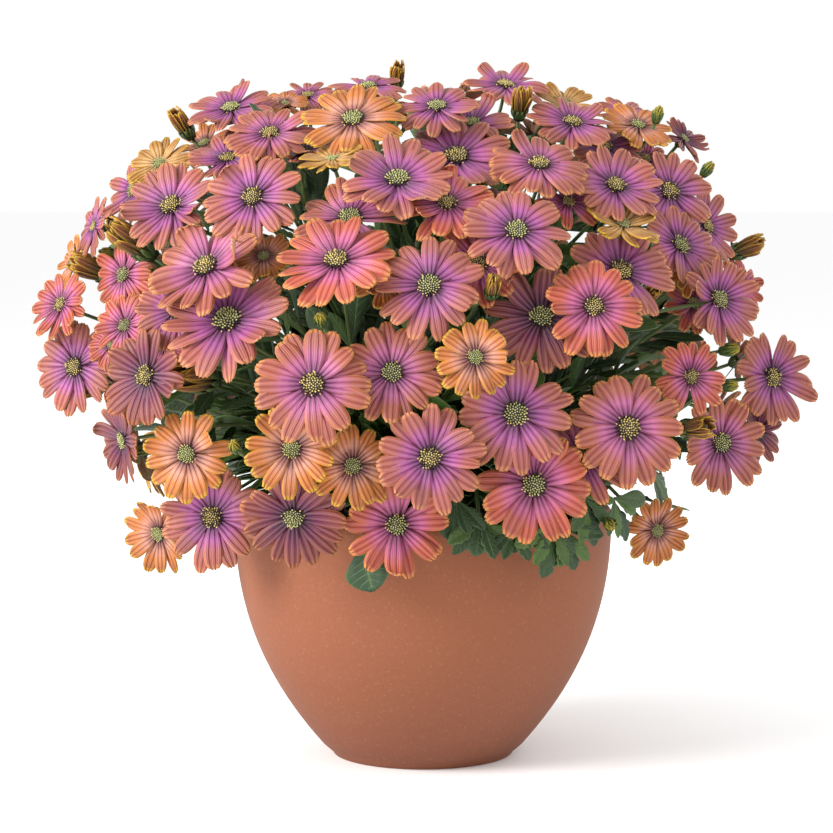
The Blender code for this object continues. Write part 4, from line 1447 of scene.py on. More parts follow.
class Finishes:
    """The materials of the plant, the pot and the soil."""

    def __init__(self) -> None:
        """Makes each material once."""
        self.petal = self.make_petal()
        self.floret = self.make_floret()
        self.leaf = self.make_leaf()
        self.stalk = self.make_stalk()
        self.terracotta = self.make_terracotta()
        self.compost = self.make_compost()

    @staticmethod
    def make_petal() -> bpy.types.Material:
        """Satin petals with two dark grooves, partly their own vein colour and partly painted shade,
        faint veins, a painted highlight on the ridges between them and a thin pale edge.

        Returns:
            The material.
        """
        paint = Paint("petal", 0.50)
        across, along = paint.across_and_along()
        tint, rim = paint.attribute("tint"), paint.attribute("rim")
        waver = paint.noise(300.0, 2.0, paint.place()) * 0.05
        bent = across + waver
        groove = bent.wave(PETAL_RIDGES).power(5.0)
        vein = bent.wave(3 * PETAL_RIDGES).power(2.0)
        aside = (across * 2.0 - 1.0).size()
        groove = groove * (1.0 - aside.power(5.0))
        # Painted highlight along the ridge tops between the grooves
        crest_highlight = (1.0 - bent.wave(PETAL_RIDGES)).power(3.0)
        foot = (1.0 - along).power(2.2)
        edge = (aside.power(9.0) * 0.85) * along
        # Darkens the grooves, most near the foot: partly vein colour, partly painted shade
        dark = paint.mix(groove * (foot * 0.52 + 0.12), tint, GROOVE_VEIN_AND_SHADE)
        veined = paint.mix(vein * 0.09, dark, PETAL_VEIN)
        pale = paint.mix(crest_highlight * 0.10, veined, CREST_HIGHLIGHT)
        paint.colour(paint.mix(edge, pale, rim))
        paint.relief(1.0 - groove * 0.8 - vein * 0.25, 0.0005)
        return paint.material

    @staticmethod
    def make_floret() -> bpy.types.Material:
        """Small florets, dark at the foot and pollen gold at the tip.

        Returns:
            The material.
        """
        paint = Paint("floret", 0.65)
        speck = paint.noise(1500.0, 2.0, paint.place())
        paint.colour(paint.mix(speck * 0.25, paint.attribute("tint"), FLORET_SPECK))
        return paint.material

    @staticmethod
    def make_leaf() -> bpy.types.Material:
        """Dark green blades with a pale rib, fine side veins, patches of painted shade
        and a painted highlight along the edges.

        Returns:
            The material.
        """
        paint = Paint("leaf", 0.50)
        across, along = paint.across_and_along()
        tint = paint.attribute("tint")
        aside = (across * 2.0 - 1.0).size()
        rib = (1.0 - aside).power(14.0)
        veins = (along - aside * 0.16).wave(LEAF_VEINS).power(10.0)
        # Noise that lays patches of painted shade and also roughens the bump
        shade_and_bump_noise = paint.noise(260.0, 4.0, paint.place())
        base = paint.mix(shade_and_bump_noise * 0.55, tint, LEAF_PAINTED_SHADE)
        ribbed = paint.mix(rib * 0.50 + veins * 0.15, base, LEAF_RIB)
        # A pale band along the edges: painted highlight
        paint.colour(paint.mix(aside.power(14.0) * 0.30, ribbed, LEAF_EDGE_HIGHLIGHT))
        paint.relief(1.0 - rib - veins * 0.5 + shade_and_bump_noise * 0.4, 0.0004)
        return paint.material

    @staticmethod
    def make_stalk() -> bpy.types.Material:
        """Green stalks and cups with patches of painted shade, and slightly downy.

        Returns:
            The material.
        """
        paint = Paint("stalk", 0.55)
        shade_and_bump_noise = paint.noise(500.0, 3.0, paint.place())
        # Patches of painted shade
        paint.colour(paint.mix(shade_and_bump_noise * 0.6, paint.attribute("tint"), STALK_PAINTED_SHADE))
        paint.relief(shade_and_bump_noise, 0.0002)
        return paint.material

    @staticmethod
    def make_terracotta() -> bpy.types.Material:
        """Unglazed clay with speckles, soft cloudy patches and faint throwing lines, and painted shade
        that darkens it towards the foot.

        Returns:
            The material.
        """
        paint = Paint("terracotta", 0.72)
        place = paint.place()
        cloud = paint.noise(9.0, 4.0, place)
        grain = paint.noise(900.0, 3.0, place)
        flat = {0: place, 1: (0.15, 0.15, 1.0)}
        level = paint.node("ShaderNodeVectorMath", flat, operation="MULTIPLY")
        lines = paint.noise(330.0, 3.0, level)
        speck = paint.node("ShaderNodeTexVoronoi", {"Vector": place, "Scale": 260.0}, "Distance")
        dots = (1.0 - speck).power(9.0)
        height = paint.node("ShaderNodeSeparateXYZ", {0: place}, "Z")
        # Painted shade: the clay grows darker towards the foot
        foot_shade = (1.0 - height * (1.0 / POT_HEIGHT)).power(1.6)
        clay = paint.mix(cloud, CLAY_DARK, CLAY_LIGHT)
        foot_shaded = paint.mix(foot_shade * 0.70, clay, CLAY_FOOT_SHADE)
        lined = paint.mix(lines * 0.30, foot_shaded, CLAY_LINE)
        grained = paint.mix(grain * 0.14, lined, CLAY_GRAIN)
        paint.colour(paint.mix(dots * 0.16, grained, CLAY_DOT))
        paint.relief(grain * 0.5 + lines * 0.5, 0.00025)
        return paint.material

    @staticmethod
    def make_compost() -> bpy.types.Material:
        """Dark crumbly compost.

        Returns:
            The material.
        """
        paint = Paint("potting_soil", 0.95)
        place = paint.place()
        crumbs = paint.noise(240.0, 6.0, place)
        paint.colour(paint.mix(crumbs, SOIL_DARK, SOIL_LIGHT))
        paint.relief(crumbs, 0.0006)
        return paint.material


def finished_mesh(bm: bmesh.types.BMesh, name: str) -> bpy.types.Mesh:
    """Writes a working mesh into a named one, and frees it.

    Args:
        bm: The working mesh.
        name: The new mesh's name.

    Returns:
        The new mesh.
    """
    mesh = bpy.data.meshes.new(name)
    bm.to_mesh(mesh)
    bm.free()
    return mesh


def linked(name: str, data: bpy.types.ID) -> bpy.types.Object:
    """An object with its data, linked into the scene.

    Args:
        name: The object's name.
        data: Its mesh, lamp or camera.

    Returns:
        The object.
    """
    thing = bpy.data.objects.new(name, data)
    bpy.context.scene.collection.objects.link(thing)
    return thing


def turned(profile: Sequence[tuple[float, float]], steps: int) -> bmesh.types.BMesh:
    """Turns a profile about the upright axis.

    Args:
        profile: The radius and the height of each of its points, from axis to axis.
        steps: How many sides the turned body has.

    Returns:
        The working mesh.
    """
    bm = bmesh.new()
    points = [bm.verts.new((radius, 0.0, z)) for radius, z in profile]
    edges = [bm.edges.new(pair) for pair in zip(points, points[1:])]
    bmesh.ops.spin(
        bm, geom=points + edges, axis=UP, cent=(0.0, 0.0, 0.0), dvec=(0.0, 0.0, 0.0),
        angle=TURN, steps=steps, use_merge=True, use_normal_flip=False, use_duplicate=False,
    )
    bmesh.ops.remove_doubles(bm, verts=bm.verts[:], dist=SAME_PLACE)
    return bm


def smoothed(bm: bmesh.types.BMesh) -> None:
    """Turns all faces outwards and shades them smoothly."""
    bmesh.ops.recalc_face_normals(bm, faces=bm.faces[:])
    for face in bm.faces:
        face.smooth = True


class PieceMesh:
    """Collects copies of small grids, cones and tubes into one mesh with colours on its points."""

    # How much of the back colour is laid on: partly own colour, partly painted shine-through light
    under_share = 0.72

    def __init__(self) -> None:
        """Starts an empty mesh with a map and two colours."""
        self.bm = bmesh.new()
        self.bm.loops.layers.uv.new("UVMap")
        self.tint = self.bm.verts.layers.float_color.new("tint")
        self.rim = self.bm.verts.layers.float_color.new("rim")
        self.slot = 0

    def copy(self, template: bpy.types.Mesh) -> list[bmesh.types.BMVert]:
        """Adds a copy of a template, and gives its new points.

        Args:
            template: The mesh to copy.

        Returns:
            The points that were added.
        """
        before = len(self.bm.verts)
        faces_before = len(self.bm.faces)
        self.bm.from_mesh(template)
        self.bm.verts.ensure_lookup_table()
        self.bm.faces.ensure_lookup_table()
        for face in self.bm.faces[faces_before:]:
            face.material_index = self.slot
            face.smooth = True
        return self.bm.verts[before:]

    def tube(self, path: Sequence[Vector], radii: Sequence[float], sides: int,
             colours: Sequence[Colour]) -> None:
        """Adds a closed tube along a path, as a ring that is extruded from point to point.

        Args:
            path: The middle of the tube.
            radii: Its radius at each point.
            sides: How many sides it has.
            colours: Its colour at each point.
        """
        ring = bmesh.ops.create_circle(self.bm, segments=sides, radius=1.0)["verts"]
        edges = list({edge for vertex in ring for edge in vertex.link_edges})
        loops = [(ring, edges)]
        for _ in range(len(path) - 1):
            grown = bmesh.ops.extrude_edge_only(self.bm, edges=loops[-1][1])["geom"]
            ring = [each for each in grown if isinstance(each, bmesh.types.BMVert)]
            kept = set(ring)
            edges = [
                each for each in grown
                if isinstance(each, bmesh.types.BMEdge) and kept.issuperset(each.verts)
            ]
            loops.append((ring, edges))
        corners = ring_corners(path, radii, sides)
        for (ring, _), places, colour in zip(loops, corners, colours):
            for vertex, place in zip(ring, places):
                vertex.co = place
                vertex[self.tint] = (*colour, 1.0)
        for _, edges in (loops[0], loops[-1]):
            bmesh.ops.edgeloop_fill(self.bm, edges=edges)
        for ring, _ in loops:
            for vertex in ring:
                for face in vertex.link_faces:
                    face.material_index = self.slot
                    face.smooth = True

    def thicken(self, thickness: float, start: int = 0, under: Colour | None = None) -> None:
        """Gives sheets their thickness.

        Args:
            thickness: How thick they are.
            start: The number of the first face that is still a sheet.
            under: A colour that tints the side the sheets were laid on.
        """
        self.bm.faces.ensure_lookup_table()
        sheets = self.bm.faces[start:]
        laid = {vertex for face in sheets for vertex in face.verts}
        self.bm.normal_update()
        bmesh.ops.solidify(self.bm, geom=sheets, thickness=thickness)
        for face in self.bm.faces:
            face.smooth = True
        if under is None:
            return
        for vertex in laid:
            vertex[self.tint] = (*blend(vertex[self.tint][:3], under, self.under_share), 1.0)

    def piece(self, name: str, materials: Sequence[bpy.types.Material]) -> bpy.types.Object:
        """Makes the object.

        Args:
            name: Its name.
            materials: Its materials, in the order of slots.

        Returns:
            The object.
        """
        bmesh.ops.recalc_face_normals(self.bm, faces=self.bm.faces[:])
        mesh = finished_mesh(self.bm, name)
        for material in materials:
            mesh.materials.append(material)
        return linked(name, mesh)


def grid_template(name: str, across: int, along: int) -> bpy.types.Mesh:
    """A flat grid from -1 to 1 across and from 0 to 1 along, with its map.

    Args:
        name: The mesh's name.
        across: How many faces across.
        along: How many faces along.

    Returns:
        The mesh.
    """
    bm = bmesh.new()
    bm.loops.layers.uv.new("UVMap")
    bmesh.ops.create_grid(bm, x_segments=across, y_segments=along, size=1.0, calc_uvs=True)
    for vertex in bm.verts:
        vertex.co.y = (vertex.co.y + 1.0) / 2
    return finished_mesh(bm, name)


def cone_template(name: str, sides: int, tip: float) -> bpy.types.Mesh:
    """A closed cone, one high and one in radius at its foot, with a flat tip.

    Args:
        name: The mesh's name.
        sides: How many sides it has.
        tip: The radius of its tip.

    Returns:
        The mesh.
    """
    bm = bmesh.new()
    bm.loops.layers.uv.new("UVMap")
    bmesh.ops.create_cone(
        bm, cap_ends=True, segments=sides, radius1=1.0, radius2=tip, depth=1.0, calc_uvs=True,
        matrix=Matrix.Translation((0.0, 0.0, 0.5)),
    )
    return finished_mesh(bm, name)


def dome_template(name: str) -> bpy.types.Mesh:
    """A small ball with its poles up and down.

    Args:
        name: The mesh's name.

    Returns:
        The mesh.
    """
    bm = bmesh.new()
    bm.loops.layers.uv.new("UVMap")
    bmesh.ops.create_uvsphere(bm, u_segments=12, v_segments=8, radius=1.0, calc_uvs=True)
    return finished_mesh(bm, name)


@dataclass
class BloomWork:
    """Petals and disc of the blooms of a spray."""

    # A petal's sheet, in faces and metres
    petal_across: int = 6
    petal_along: int = 8
    thickness: float = 0.00035
    ridge: float = 0.00048
    whorl_gap: float = 0.0012
    disc_gap: float = 0.0002
    roll_gap: float = 0.0007

    # How many petals there are, and how evenly they stand
    large_radius: float = 0.026
    large_counts: tuple[int, ...] = (14, 15, 16)
    small_counts: tuple[int, ...] = (13, 14, 15)
    gap_chance: float = 0.2
    crowding: float = 0.22
    openings: tuple[float, float] = (-0.08, 0.12)

    # A petal's shape, by the bloom's radius or the petal's own length and width
    widest: float = 0.66
    foot_width: float = 0.36
    inner_share: float = 0.12
    petal_width: float = 0.355
    lengths: tuple[float, float] = (0.97, 1.07)
    widths: tuple[float, float] = (0.86, 1.10)
    cups: tuple[float, float] = (0.3, 1.6)
    curls: tuple[float, float] = (0.02, 0.26)
    dishes: tuple[float, float] = (-0.22, 0.10)
    upper_shorter: float = 0.05
    upper_lift: float = 0.03
    raised_chance: float = 0.06
    raised: float = 0.30
    folds: tuple[float, float] = (0.10, 0.35)
    roll_spread: float = 0.24
    sweep_spread: float = 0.045
    tip_round: float = 0.035
    notch: float = 0.014
    sag: float = 0.045

    # How much its colours differ
    shade_spread: float = 0.07
    colour_shifts: tuple[float, float] = (-0.06, 0.05)

    # Closed heads
    furled_petals: int = 10
    bud_petals: int = 8
    rolled_width: float = 0.88
    core_width: float = 0.68
    overlap: float = 1.45
    flares: tuple[float, float] = (-0.1, 0.5)
    rolled_heights: tuple[float, float] = (0.74, 1.0)
    streaks: tuple[float, float] = (0.45, 0.95)

    # The disc, by the bloom's radius, and its florets, by the disc's
    disc_share: float = 0.205
    dome_share: float = 0.92
    dome_rise: float = 0.42
    floret_count: int = 84
    floret_sides: int = 5
    floret_tip: float = 0.62
    floret_heights: tuple[float, float] = (0.16, 0.26)
    floret_widths: tuple[float, float] = (0.078, 0.108)
    young_chance: float = 0.4
    ring_from: float = 0.80
    ring_chance: float = 0.72
    ripe_from: float = 0.52

    def __post_init__(self) -> None:
        """Makes the templates that every copy starts from."""
        self.sheet = grid_template("petal_sheet", self.petal_across, self.petal_along)
        self.floret = cone_template("floret_cone", self.floret_sides, self.floret_tip)
        self.dome = dome_template("disc_dome")

    def outline(self, along: float) -> float:
        """A petal's half width, by its greatest: widest well beyond its middle, with a round tip.

        Args:
            along: The share of the petal's length.

        Returns:
            The half width, from 0 to 1.
        """
        if along < self.widest:
            grown = math.sin(along / self.widest * math.pi / 2) ** 0.95
            return self.foot_width + (1.0 - self.foot_width) * grown
        share = (along - self.widest) / (1.04 - self.widest)
        return math.sqrt(max(0.0, 1.0 - share**2.5))

    def petal(
        self, mesh: PieceMesh, bloom: Bloom, angle: float, whorl: int, opening: float,
        draw: random.Random
    ) -> None:
        """Adds one petal of an open bloom.

        Args:
            mesh: Where it goes.
            bloom: The bloom it belongs to.
            angle: Its angle round the disc.
            whorl: 0 for the lower whorl of petals, 1 for the upper one.
            opening: How far the bloom's petals rise, by its radius.
            draw: The source of its small differences.
        """
        radius = bloom.radius
        outward = bloom.spoke(angle)
        aside = bloom.facing.cross(outward)
        start = self.inner_share * radius
        length = radius * draw.uniform(*self.lengths) * (1.0 - self.upper_shorter * whorl) - start
        width = radius * self.petal_width * draw.uniform(*self.widths)
        cup = opening * radius * draw.uniform(*self.cups) + self.upper_lift * radius * whorl
        curl = draw.uniform(*self.curls) * radius
        fold = 0.0
        if draw.random() < self.raised_chance:
            cup, fold = cup + self.raised * radius, draw.uniform(*self.folds) * radius
        roll = draw.gauss(0.0, self.roll_spread)
        sweep = draw.gauss(0.0, self.sweep_spread) * radius
        shade = 1.0 + draw.gauss(0.0, self.shade_spread)
        dish = draw.uniform(*self.dishes)
        finish = PETALS[bloom.kind]
        shift = draw.uniform(*self.colour_shifts)
        weight = Vector((0.0, 0.0, -self.sag * radius))
        for vertex in mesh.copy(self.sheet):
            across, along = vertex.co.x, vertex.co.y
            half = self.outline(along) * width / 2
            flat = across * half
            wave = math.cos(PETAL_RIDGES * math.pi * across)
            ahead = length * (along - self.tip_round * across**2 * along**5)
            ahead -= self.notch * length * wave * along**8
            ridge = wave * self.ridge * (1.0 - 0.5 * along) * min(1.0, along * 5 + 0.2)
            rise = ridge + dish * across**2 * half * (0.3 + 0.7 * along)
            rise += cup * along**1.5 - curl * max(0.0, along - 0.5) ** 2 * 2.0
            ahead -= fold * max(0.0, along - 0.6) ** 2 * 4.0
            turn = roll * (0.3 + 0.7 * along)
            x = flat * math.cos(turn) + sweep * along**2
            z = rise + flat * math.sin(turn) + whorl * self.whorl_gap + self.disc_gap
            place = bloom.place + outward * (start + ahead) + aside * x + bloom.facing * z
            vertex.co = place + weight * along**2
            colour = finish.at(min(max(along + shift * math.sin(along * math.pi), 0.0), 1.0))
            vertex[mesh.tint] = (*scaled(colour, shade), 1.0)
            vertex[mesh.rim] = (*finish.edge, 1.0)

    def open_petals(self, mesh: PieceMesh, bloom: Bloom, draw: random.Random) -> None:
        """Adds the petals of an open bloom.

        Args:
            mesh: Where they go.
            bloom: The bloom.
            draw: The source of their small differences.
        """
        large = bloom.radius > self.large_radius
        count = draw.choice(self.large_counts if large else self.small_counts)
        missing = draw.randrange(count) if draw.random() < self.gap_chance else -1
        opening = bloom.kind.cup + draw.uniform(*self.openings)
        for k in range(count):
            if k == missing:
                continue
            angle = TURN * (k + draw.uniform(-self.crowding, self.crowding)) / count
            self.petal(mesh, bloom, angle, k % 2, opening, draw)

    def rolled_petals(self, mesh: PieceMesh, bloom: Bloom, draw: random.Random) -> None:
        """Adds the rolled petals of a furled bloom or a bud.

        Args:
            mesh: Where they go.
            bloom: The closed head.
            draw: The source of their small differences.
        """
        finish = PETALS[bloom.kind]
        length = bloom.head_length()
        furled = bloom.kind is Kind.FURLED
        count = self.furled_petals if furled else self.bud_petals
        thick = bloom.head_width() * self.rolled_width
        start = bloom.head_start(length)
        half_span = math.pi / count * self.overlap
        spread_out = draw.uniform(0.0, 0.8) if furled else 0.0
        streaked = draw.uniform(*self.streaks)
        for k in range(count):
            middle = TURN * (k + draw.uniform(-0.2, 0.2)) / count
            tall = draw.uniform(*self.rolled_heights)
            flare = spread_out + (draw.uniform(*self.flares) if furled else 0.0)
            lean = draw.gauss(0.0, 0.18)
            shade = 1.0 + draw.gauss(0.0, 0.10)
            for vertex in mesh.copy(self.sheet):
                across, along = vertex.co.x, vertex.co.y
                share = along * tall
                body = math.sin(math.pi * min(share * 0.80 + 0.14, 1.0)) ** 0.75
                narrow = math.sqrt(max(0.0, 1.0 - max(0.0, (along - 0.62) / 0.40) ** 1.6))
                spread = across * half_span * (0.16 + 0.84 * narrow) + lean * along**2
                spoke = bloom.spoke(middle + spread)
                out = thick * (body + flare * max(0.0, along - 0.45) * 1.3)
                out -= self.roll_gap * (k % 2)
                out += self.ridge * math.cos(TURN * across) * 1.2
                vertex.co = start + bloom.facing * (length * share) + spoke * out
                striped = abs(math.cos(1.5 * math.pi * across)) * (1.0 - 0.4 * along)
                colour = blend(finish.at(along), STRIPES[bloom.kind], streaked * striped)
                vertex[mesh.tint] = (*scaled(colour, shade), 1.0)
                vertex[mesh.rim] = (*finish.edge, 1.0)

    def core(self, mesh: PieceMesh, bloom: Bloom) -> None:
        """Adds the solid core that closed petals are rolled round.

        Args:
            mesh: Where it goes.
            bloom: The closed head.
        """
        finish = PETALS[bloom.kind]
        length = bloom.head_length()
        wide = bloom.head_width() * self.core_width
        start = bloom.head_start(length)
        across, other = bloom.axes()
        for vertex in mesh.copy(self.dome):
            x, y, z = vertex.co
            place = start + bloom.facing * (length * (0.45 + 0.36 * z))
            vertex.co = place + (across * x + other * y) * wide
            vertex[mesh.tint] = (*finish.inner, 1.0)
            vertex[mesh.rim] = (*finish.inner, 1.0)

    def disc(self, mesh: PieceMesh, bloom: Bloom, draw: random.Random) -> None:
        """Adds the disc: a low dark dome set all over with florets.

        Args:
            mesh: Where it goes.
            bloom: The bloom.
            draw: The source of its small differences.
        """
        across, other = bloom.axes()
        radius = bloom.radius * self.disc_share
        pale = bloom.kind in (Kind.ORANGE, Kind.YELLOW)
        young = pale or draw.random() < self.young_chance
        dark = PALE_DISC_FOOT if pale else DISC_FOOT
        heart = DISC_GREEN if young else DISC_GOLD
        for vertex in mesh.copy(self.dome):
            x, y, z = vertex.co
            place = bloom.place + across * (x * radius * self.dome_share)
            place += other * (y * radius * self.dome_share)
            vertex.co = place + bloom.facing * (z * radius * self.dome_rise + 0.0008)
            vertex[mesh.tint] = (*dark, 1.0)
        for k in range(self.floret_count):
            share = math.sqrt((k + 0.5) / self.floret_count)
            spoke = bloom.spoke(GOLDEN * k)
            lean = (bloom.facing + spoke * share * 0.9).normalized()
            foot = bloom.place + spoke * (share * radius * 0.97)
            foot += bloom.facing * (radius * 0.38 * math.sqrt(max(0.0, 1.0 - share**2)) + 0.0006)
            side = lean.orthogonal().normalized()
            front = lean.cross(side)
            tall = radius * draw.uniform(*self.floret_heights) * (1.35 if share > 0.62 else 0.9)
            wide = radius * draw.uniform(*self.floret_widths)
            if share > self.ring_from:
                tip = DISC_RING if draw.random() < self.ring_chance else DISC_GOLD
            elif share > self.ripe_from and not young:
                tip = blend(DISC_GOLD, DISC_RING, draw.random() ** 1.4)
            else:
                tip = blend(heart, dark, 0.55 * draw.random() ** 2)
            for vertex in mesh.copy(self.floret):
                x, y, z = vertex.co
                vertex.co = foot + side * (x * wide) + front * (y * wide) + lean * (z * tall)
                vertex[mesh.tint] = (*(tip if z > 0.5 else dark), 1.0)

    def build(self, spray: Spray, finishes: Finishes, draw: random.Random) -> bpy.types.Object:
        """Makes a spray's blooms.

        Args:
            spray: The spray.
            finishes: The materials.
            draw: The source of small differences.

        Returns:
            The piece.
        """
        mesh = PieceMesh()
        for bloom in spray.blooms:
            if not bloom.kind.closed:
                self.open_petals(mesh, bloom, draw)
        # Paler backs: partly their own colour, partly painted light that shines through
        mesh.thicken(self.thickness, 0, PETAL_BACK_AND_LIGHT_THROUGH)
        opened = len(mesh.bm.faces)
        for bloom in spray.blooms:
            if bloom.kind.closed:
                self.rolled_petals(mesh, bloom, draw)
        mesh.thicken(self.thickness, opened)
        for bloom in spray.blooms:
            if bloom.kind.closed:
                self.core(mesh, bloom)
        mesh.slot = 1
        for bloom in spray.blooms:
            if not bloom.kind.closed:
                self.disc(mesh, bloom, draw)
        return mesh.piece(f"blooms_{spray.number:02d}", (finishes.petal, finishes.floret))


@dataclass
class GreenWork:
    """Stems, stalks, cups and leaves of a spray."""

    # Sheets, in faces and metres
    leaf_across: int = 4
    leaf_along: int = 12
    thickness: float = 0.0004

    # A blade's shape, by its length or its half width
    widest: float = 0.66
    foot_width: float = 0.10
    lobe_rows: tuple[int, ...] = (5, 8, 10)
    lobe_depth: float = 0.74
    lobed_chance: float = 0.65
    blade_folds: tuple[float, float] = (0.10, 0.32)
    blade_waves: tuple[float, float] = (0.0, 0.05)

    # Leaves along the stalks: lengths in metres, widths by the length
    extra_leaves: int = 66
    extra_tries: int = 4
    stalk_chance: float = 0.72
    stalk_steps: int = 12
    stalk_reach: float = 0.82
    lengths: tuple[float, float] = (0.026, 0.052)
    widths: tuple[float, float] = (0.30, 0.40)
    droops: tuple[float, float] = (0.05, 0.22)
    short_chance: float = 0.4
    short_share: float = 0.78

    # Leaves over the rim, on the sprays that fork low
    low_fork: float = 0.22
    skirt_leaves: int = 20
    skirt_tries: int = 6
    skirt_lengths: tuple[float, float] = (0.042, 0.066)
    skirt_widths: tuple[float, float] = (0.26, 0.38)
    skirt_spread: float = 0.45
    skirt_rise: float = 0.25
    low_droops: tuple[float, float] = (0.04, 0.16)

    # Leaves between the soil and the rim
    crown_leaves: int = 16
    crown_tries: int = 8
    crown_lengths: tuple[float, float] = (0.026, 0.044)
    crown_widths: tuple[float, float] = (0.30, 0.42)
    crown_rises: tuple[float, float] = (0.05, 0.8)

    # Small leaves beside each narrow leaf that hangs over the rim
    tuft_turns: tuple[float, ...] = (-0.95, -0.48, 0.50, 1.00)
    tuft_width: float = 0.020
    tuft_lengths: tuple[float, float] = (0.020, 0.030)
    tuft_widths: tuple[float, float] = (0.34, 0.44)
    tuft_gaps: tuple[float, float] = (0.0005, 0.0020)
    tuft_droop: float = 0.06

    # Bracts behind a head, in metres or by its size
    bracts: int = 11
    open_bract: float = 0.0062
    open_cup: float = 0.155
    open_behind: float = 0.0022
    furled_bract: float = 0.34
    bud_bract: float = 0.62
    bract_heights: tuple[float, float] = (0.86, 1.08)
    bract_overlap: float = 1.3

    # Round stems and stalks
    stem_sides: int = 9
    stem_tapers: tuple[float, ...] = (1.0, 1.0, 0.92, 0.8)
    stalk_sides: int = 7
    stalk_stretches: int = 10
    hanging_stretches: int = 8

    def __post_init__(self) -> None:
        """Makes the templates that every copy starts from."""
        self.blade = grid_template("leaf_sheet", self.leaf_across, self.leaf_along)
        self.bract = grid_template("bract_sheet", 2, 4)

    def outline(self, along: float, row: int, lobed: bool) -> float:
        """A leaf's half width, by its greatest: a narrow foot, then broad.

        Args:
            along: The share of the leaf's length.
            row: The row of the sheet, counted from the foot.
            lobed: Whether the leaf's edge is cut into lobes.

        Returns:
            The half width, from 0 to 1.
        """
        if along < self.widest:
            grown = math.sin(along / self.widest * math.pi / 2) ** 2.2
            body = self.foot_width + (1.0 - self.foot_width) * grown
        else:
            share = (along - self.widest) / (1.01 - self.widest)
            body = max(0.0, 1.0 - share**1.7) ** 0.72
        if lobed and row in self.lobe_rows:
            body *= self.lobe_depth
        return body

    def leaf(self, mesh: PieceMesh, leaf: Leaf, draw: random.Random) -> None:
        """Adds one toothed leaf.

        Args:
            mesh: Where it goes.
            leaf: The leaf.
            draw: The source of its small differences.
        """
        along_axis = leaf.tip - leaf.base
        length = along_axis.length
        fold = draw.uniform(*self.blade_folds)
        wave = draw.uniform(*self.blade_waves)
        phase = draw.uniform(0.0, TURN)
        lobed = draw.random() < self.lobed_chance
        skew = draw.choice((-1, 1))
        green = blend(LEAF_DARK, LEAF_BRIGHT, draw.random() ** 1.9)
        if leaf.curve:
            green = blend(HANGING_DARK, HANGING_BRIGHT, draw.random())
            lobed = lobed and leaf.width < self.tuft_width
        for vertex in mesh.copy(self.blade):
            across, along = vertex.co.x, vertex.co.y
            row = round(along * self.leaf_along) + (1 if across * skew > 0.1 else 0)
            half = self.outline(along, row, lobed) * leaf.width / 2
            flat = across * half
            ripple = wave * half * math.sin(8 * along + phase) * abs(across)
            lift = abs(across) * half * fold + ripple
            sag = leaf.droop * length * along**2
            place = leaf.base + along_axis * along + leaf.side * flat
            vertex.co = place + leaf.face * (lift - sag)
            vertex[mesh.tint] = (*green, 1.0)

    def cup(self, mesh: PieceMesh, bloom: Bloom, draw: random.Random) -> None:
        """Adds the green bracts that hold a head from behind.

        Args:
            mesh: Where they go.
            bloom: The head.
            draw: The source of their small differences.
        """
        closed = bloom.kind.closed
        if closed:
            furled = bloom.kind is Kind.FURLED
            length = bloom.head_length() * (self.furled_bract if furled else self.bud_bract)
            wide = bloom.head_width()
        else:
            length = self.open_bract
            wide = bloom.radius * self.open_cup
        start = bloom.neck() - bloom.facing * (0.0 if closed else self.open_behind)
        for k in range(self.bracts):
            middle = TURN * (k + draw.uniform(-0.12, 0.12)) / self.bracts
            green = blend(BRACT_DARK, BRACT_BRIGHT, draw.random())
            tall = length * draw.uniform(*self.bract_heights)
            for vertex in mesh.copy(self.bract):
                across, along = vertex.co.x, vertex.co.y
                spread = across * math.pi / self.bracts * self.bract_overlap
                spoke = bloom.spoke(middle + spread * (1.0 - 0.75 * along**2))
                swell = math.sin(min(along * 1.25, 1.0) * math.pi / 2) ** 0.8
                out = 0.0012 + (wide - 0.0008) * swell
                vertex.co = start + bloom.facing * (tall * along) + spoke * out
                vertex[mesh.tint] = (*green, 1.0)

    @staticmethod
    def gather(
        count: int, tries: int, attempt: Callable[[], Leaf], fits: Callable[[Leaf], bool]
    ) -> list[Leaf]:
        """Draws leaves, each one anew until it fits or its tries run out.

        Args:
            count: How many leaves are wanted.
            tries: How often each of them is drawn at most.
            attempt: Draws a leaf.
            fits: Says whether a leaf may stay.

        Returns:
            The leaves that fit.
        """
        found: list[Leaf] = []
        for _ in range(count):
            for _ in range(tries):
                leaf = attempt()
                if fits(leaf):
                    found.append(leaf)
                    break
        return found

    def stalk_leaf(self, spray: Spray, draw: random.Random) -> Leaf:
        """Draws a leaf on a stalk or on the stem.

        Args:
            spray: The spray that carries it.
            draw: The source of its place and shape.

        Returns:
            The leaf, wherever it happens to reach.
        """
        if spray.blooms and draw.random() < self.stalk_chance:
            path = curve_points(draw.choice(spray.blooms).curve, self.stalk_steps)
            k = int(draw.uniform(0.0, self.stalk_reach) * self.stalk_steps)
            base, outward = path[k], (path[k + 1] - path[k]).normalized()
        else:
            base, outward = spray.point(draw.uniform(-0.6, 1.0)), spray.direction()
        around = draw.uniform(0.0, TURN)
        aside = outward.orthogonal().normalized()
        aside = aside * math.cos(around) + outward.cross(aside) * math.sin(around)
        heading = (outward * 0.9 + aside * 0.9 + UP * 0.15).normalized()
        length = draw.uniform(*self.lengths)
        if draw.random() < self.short_chance:
            length *= self.short_share
        face = UP - outward * 0.8 + aside * 0.1
        width = length * draw.uniform(*self.widths)
        return Leaf(base, base + heading * length, face, width, draw.uniform(*self.droops))

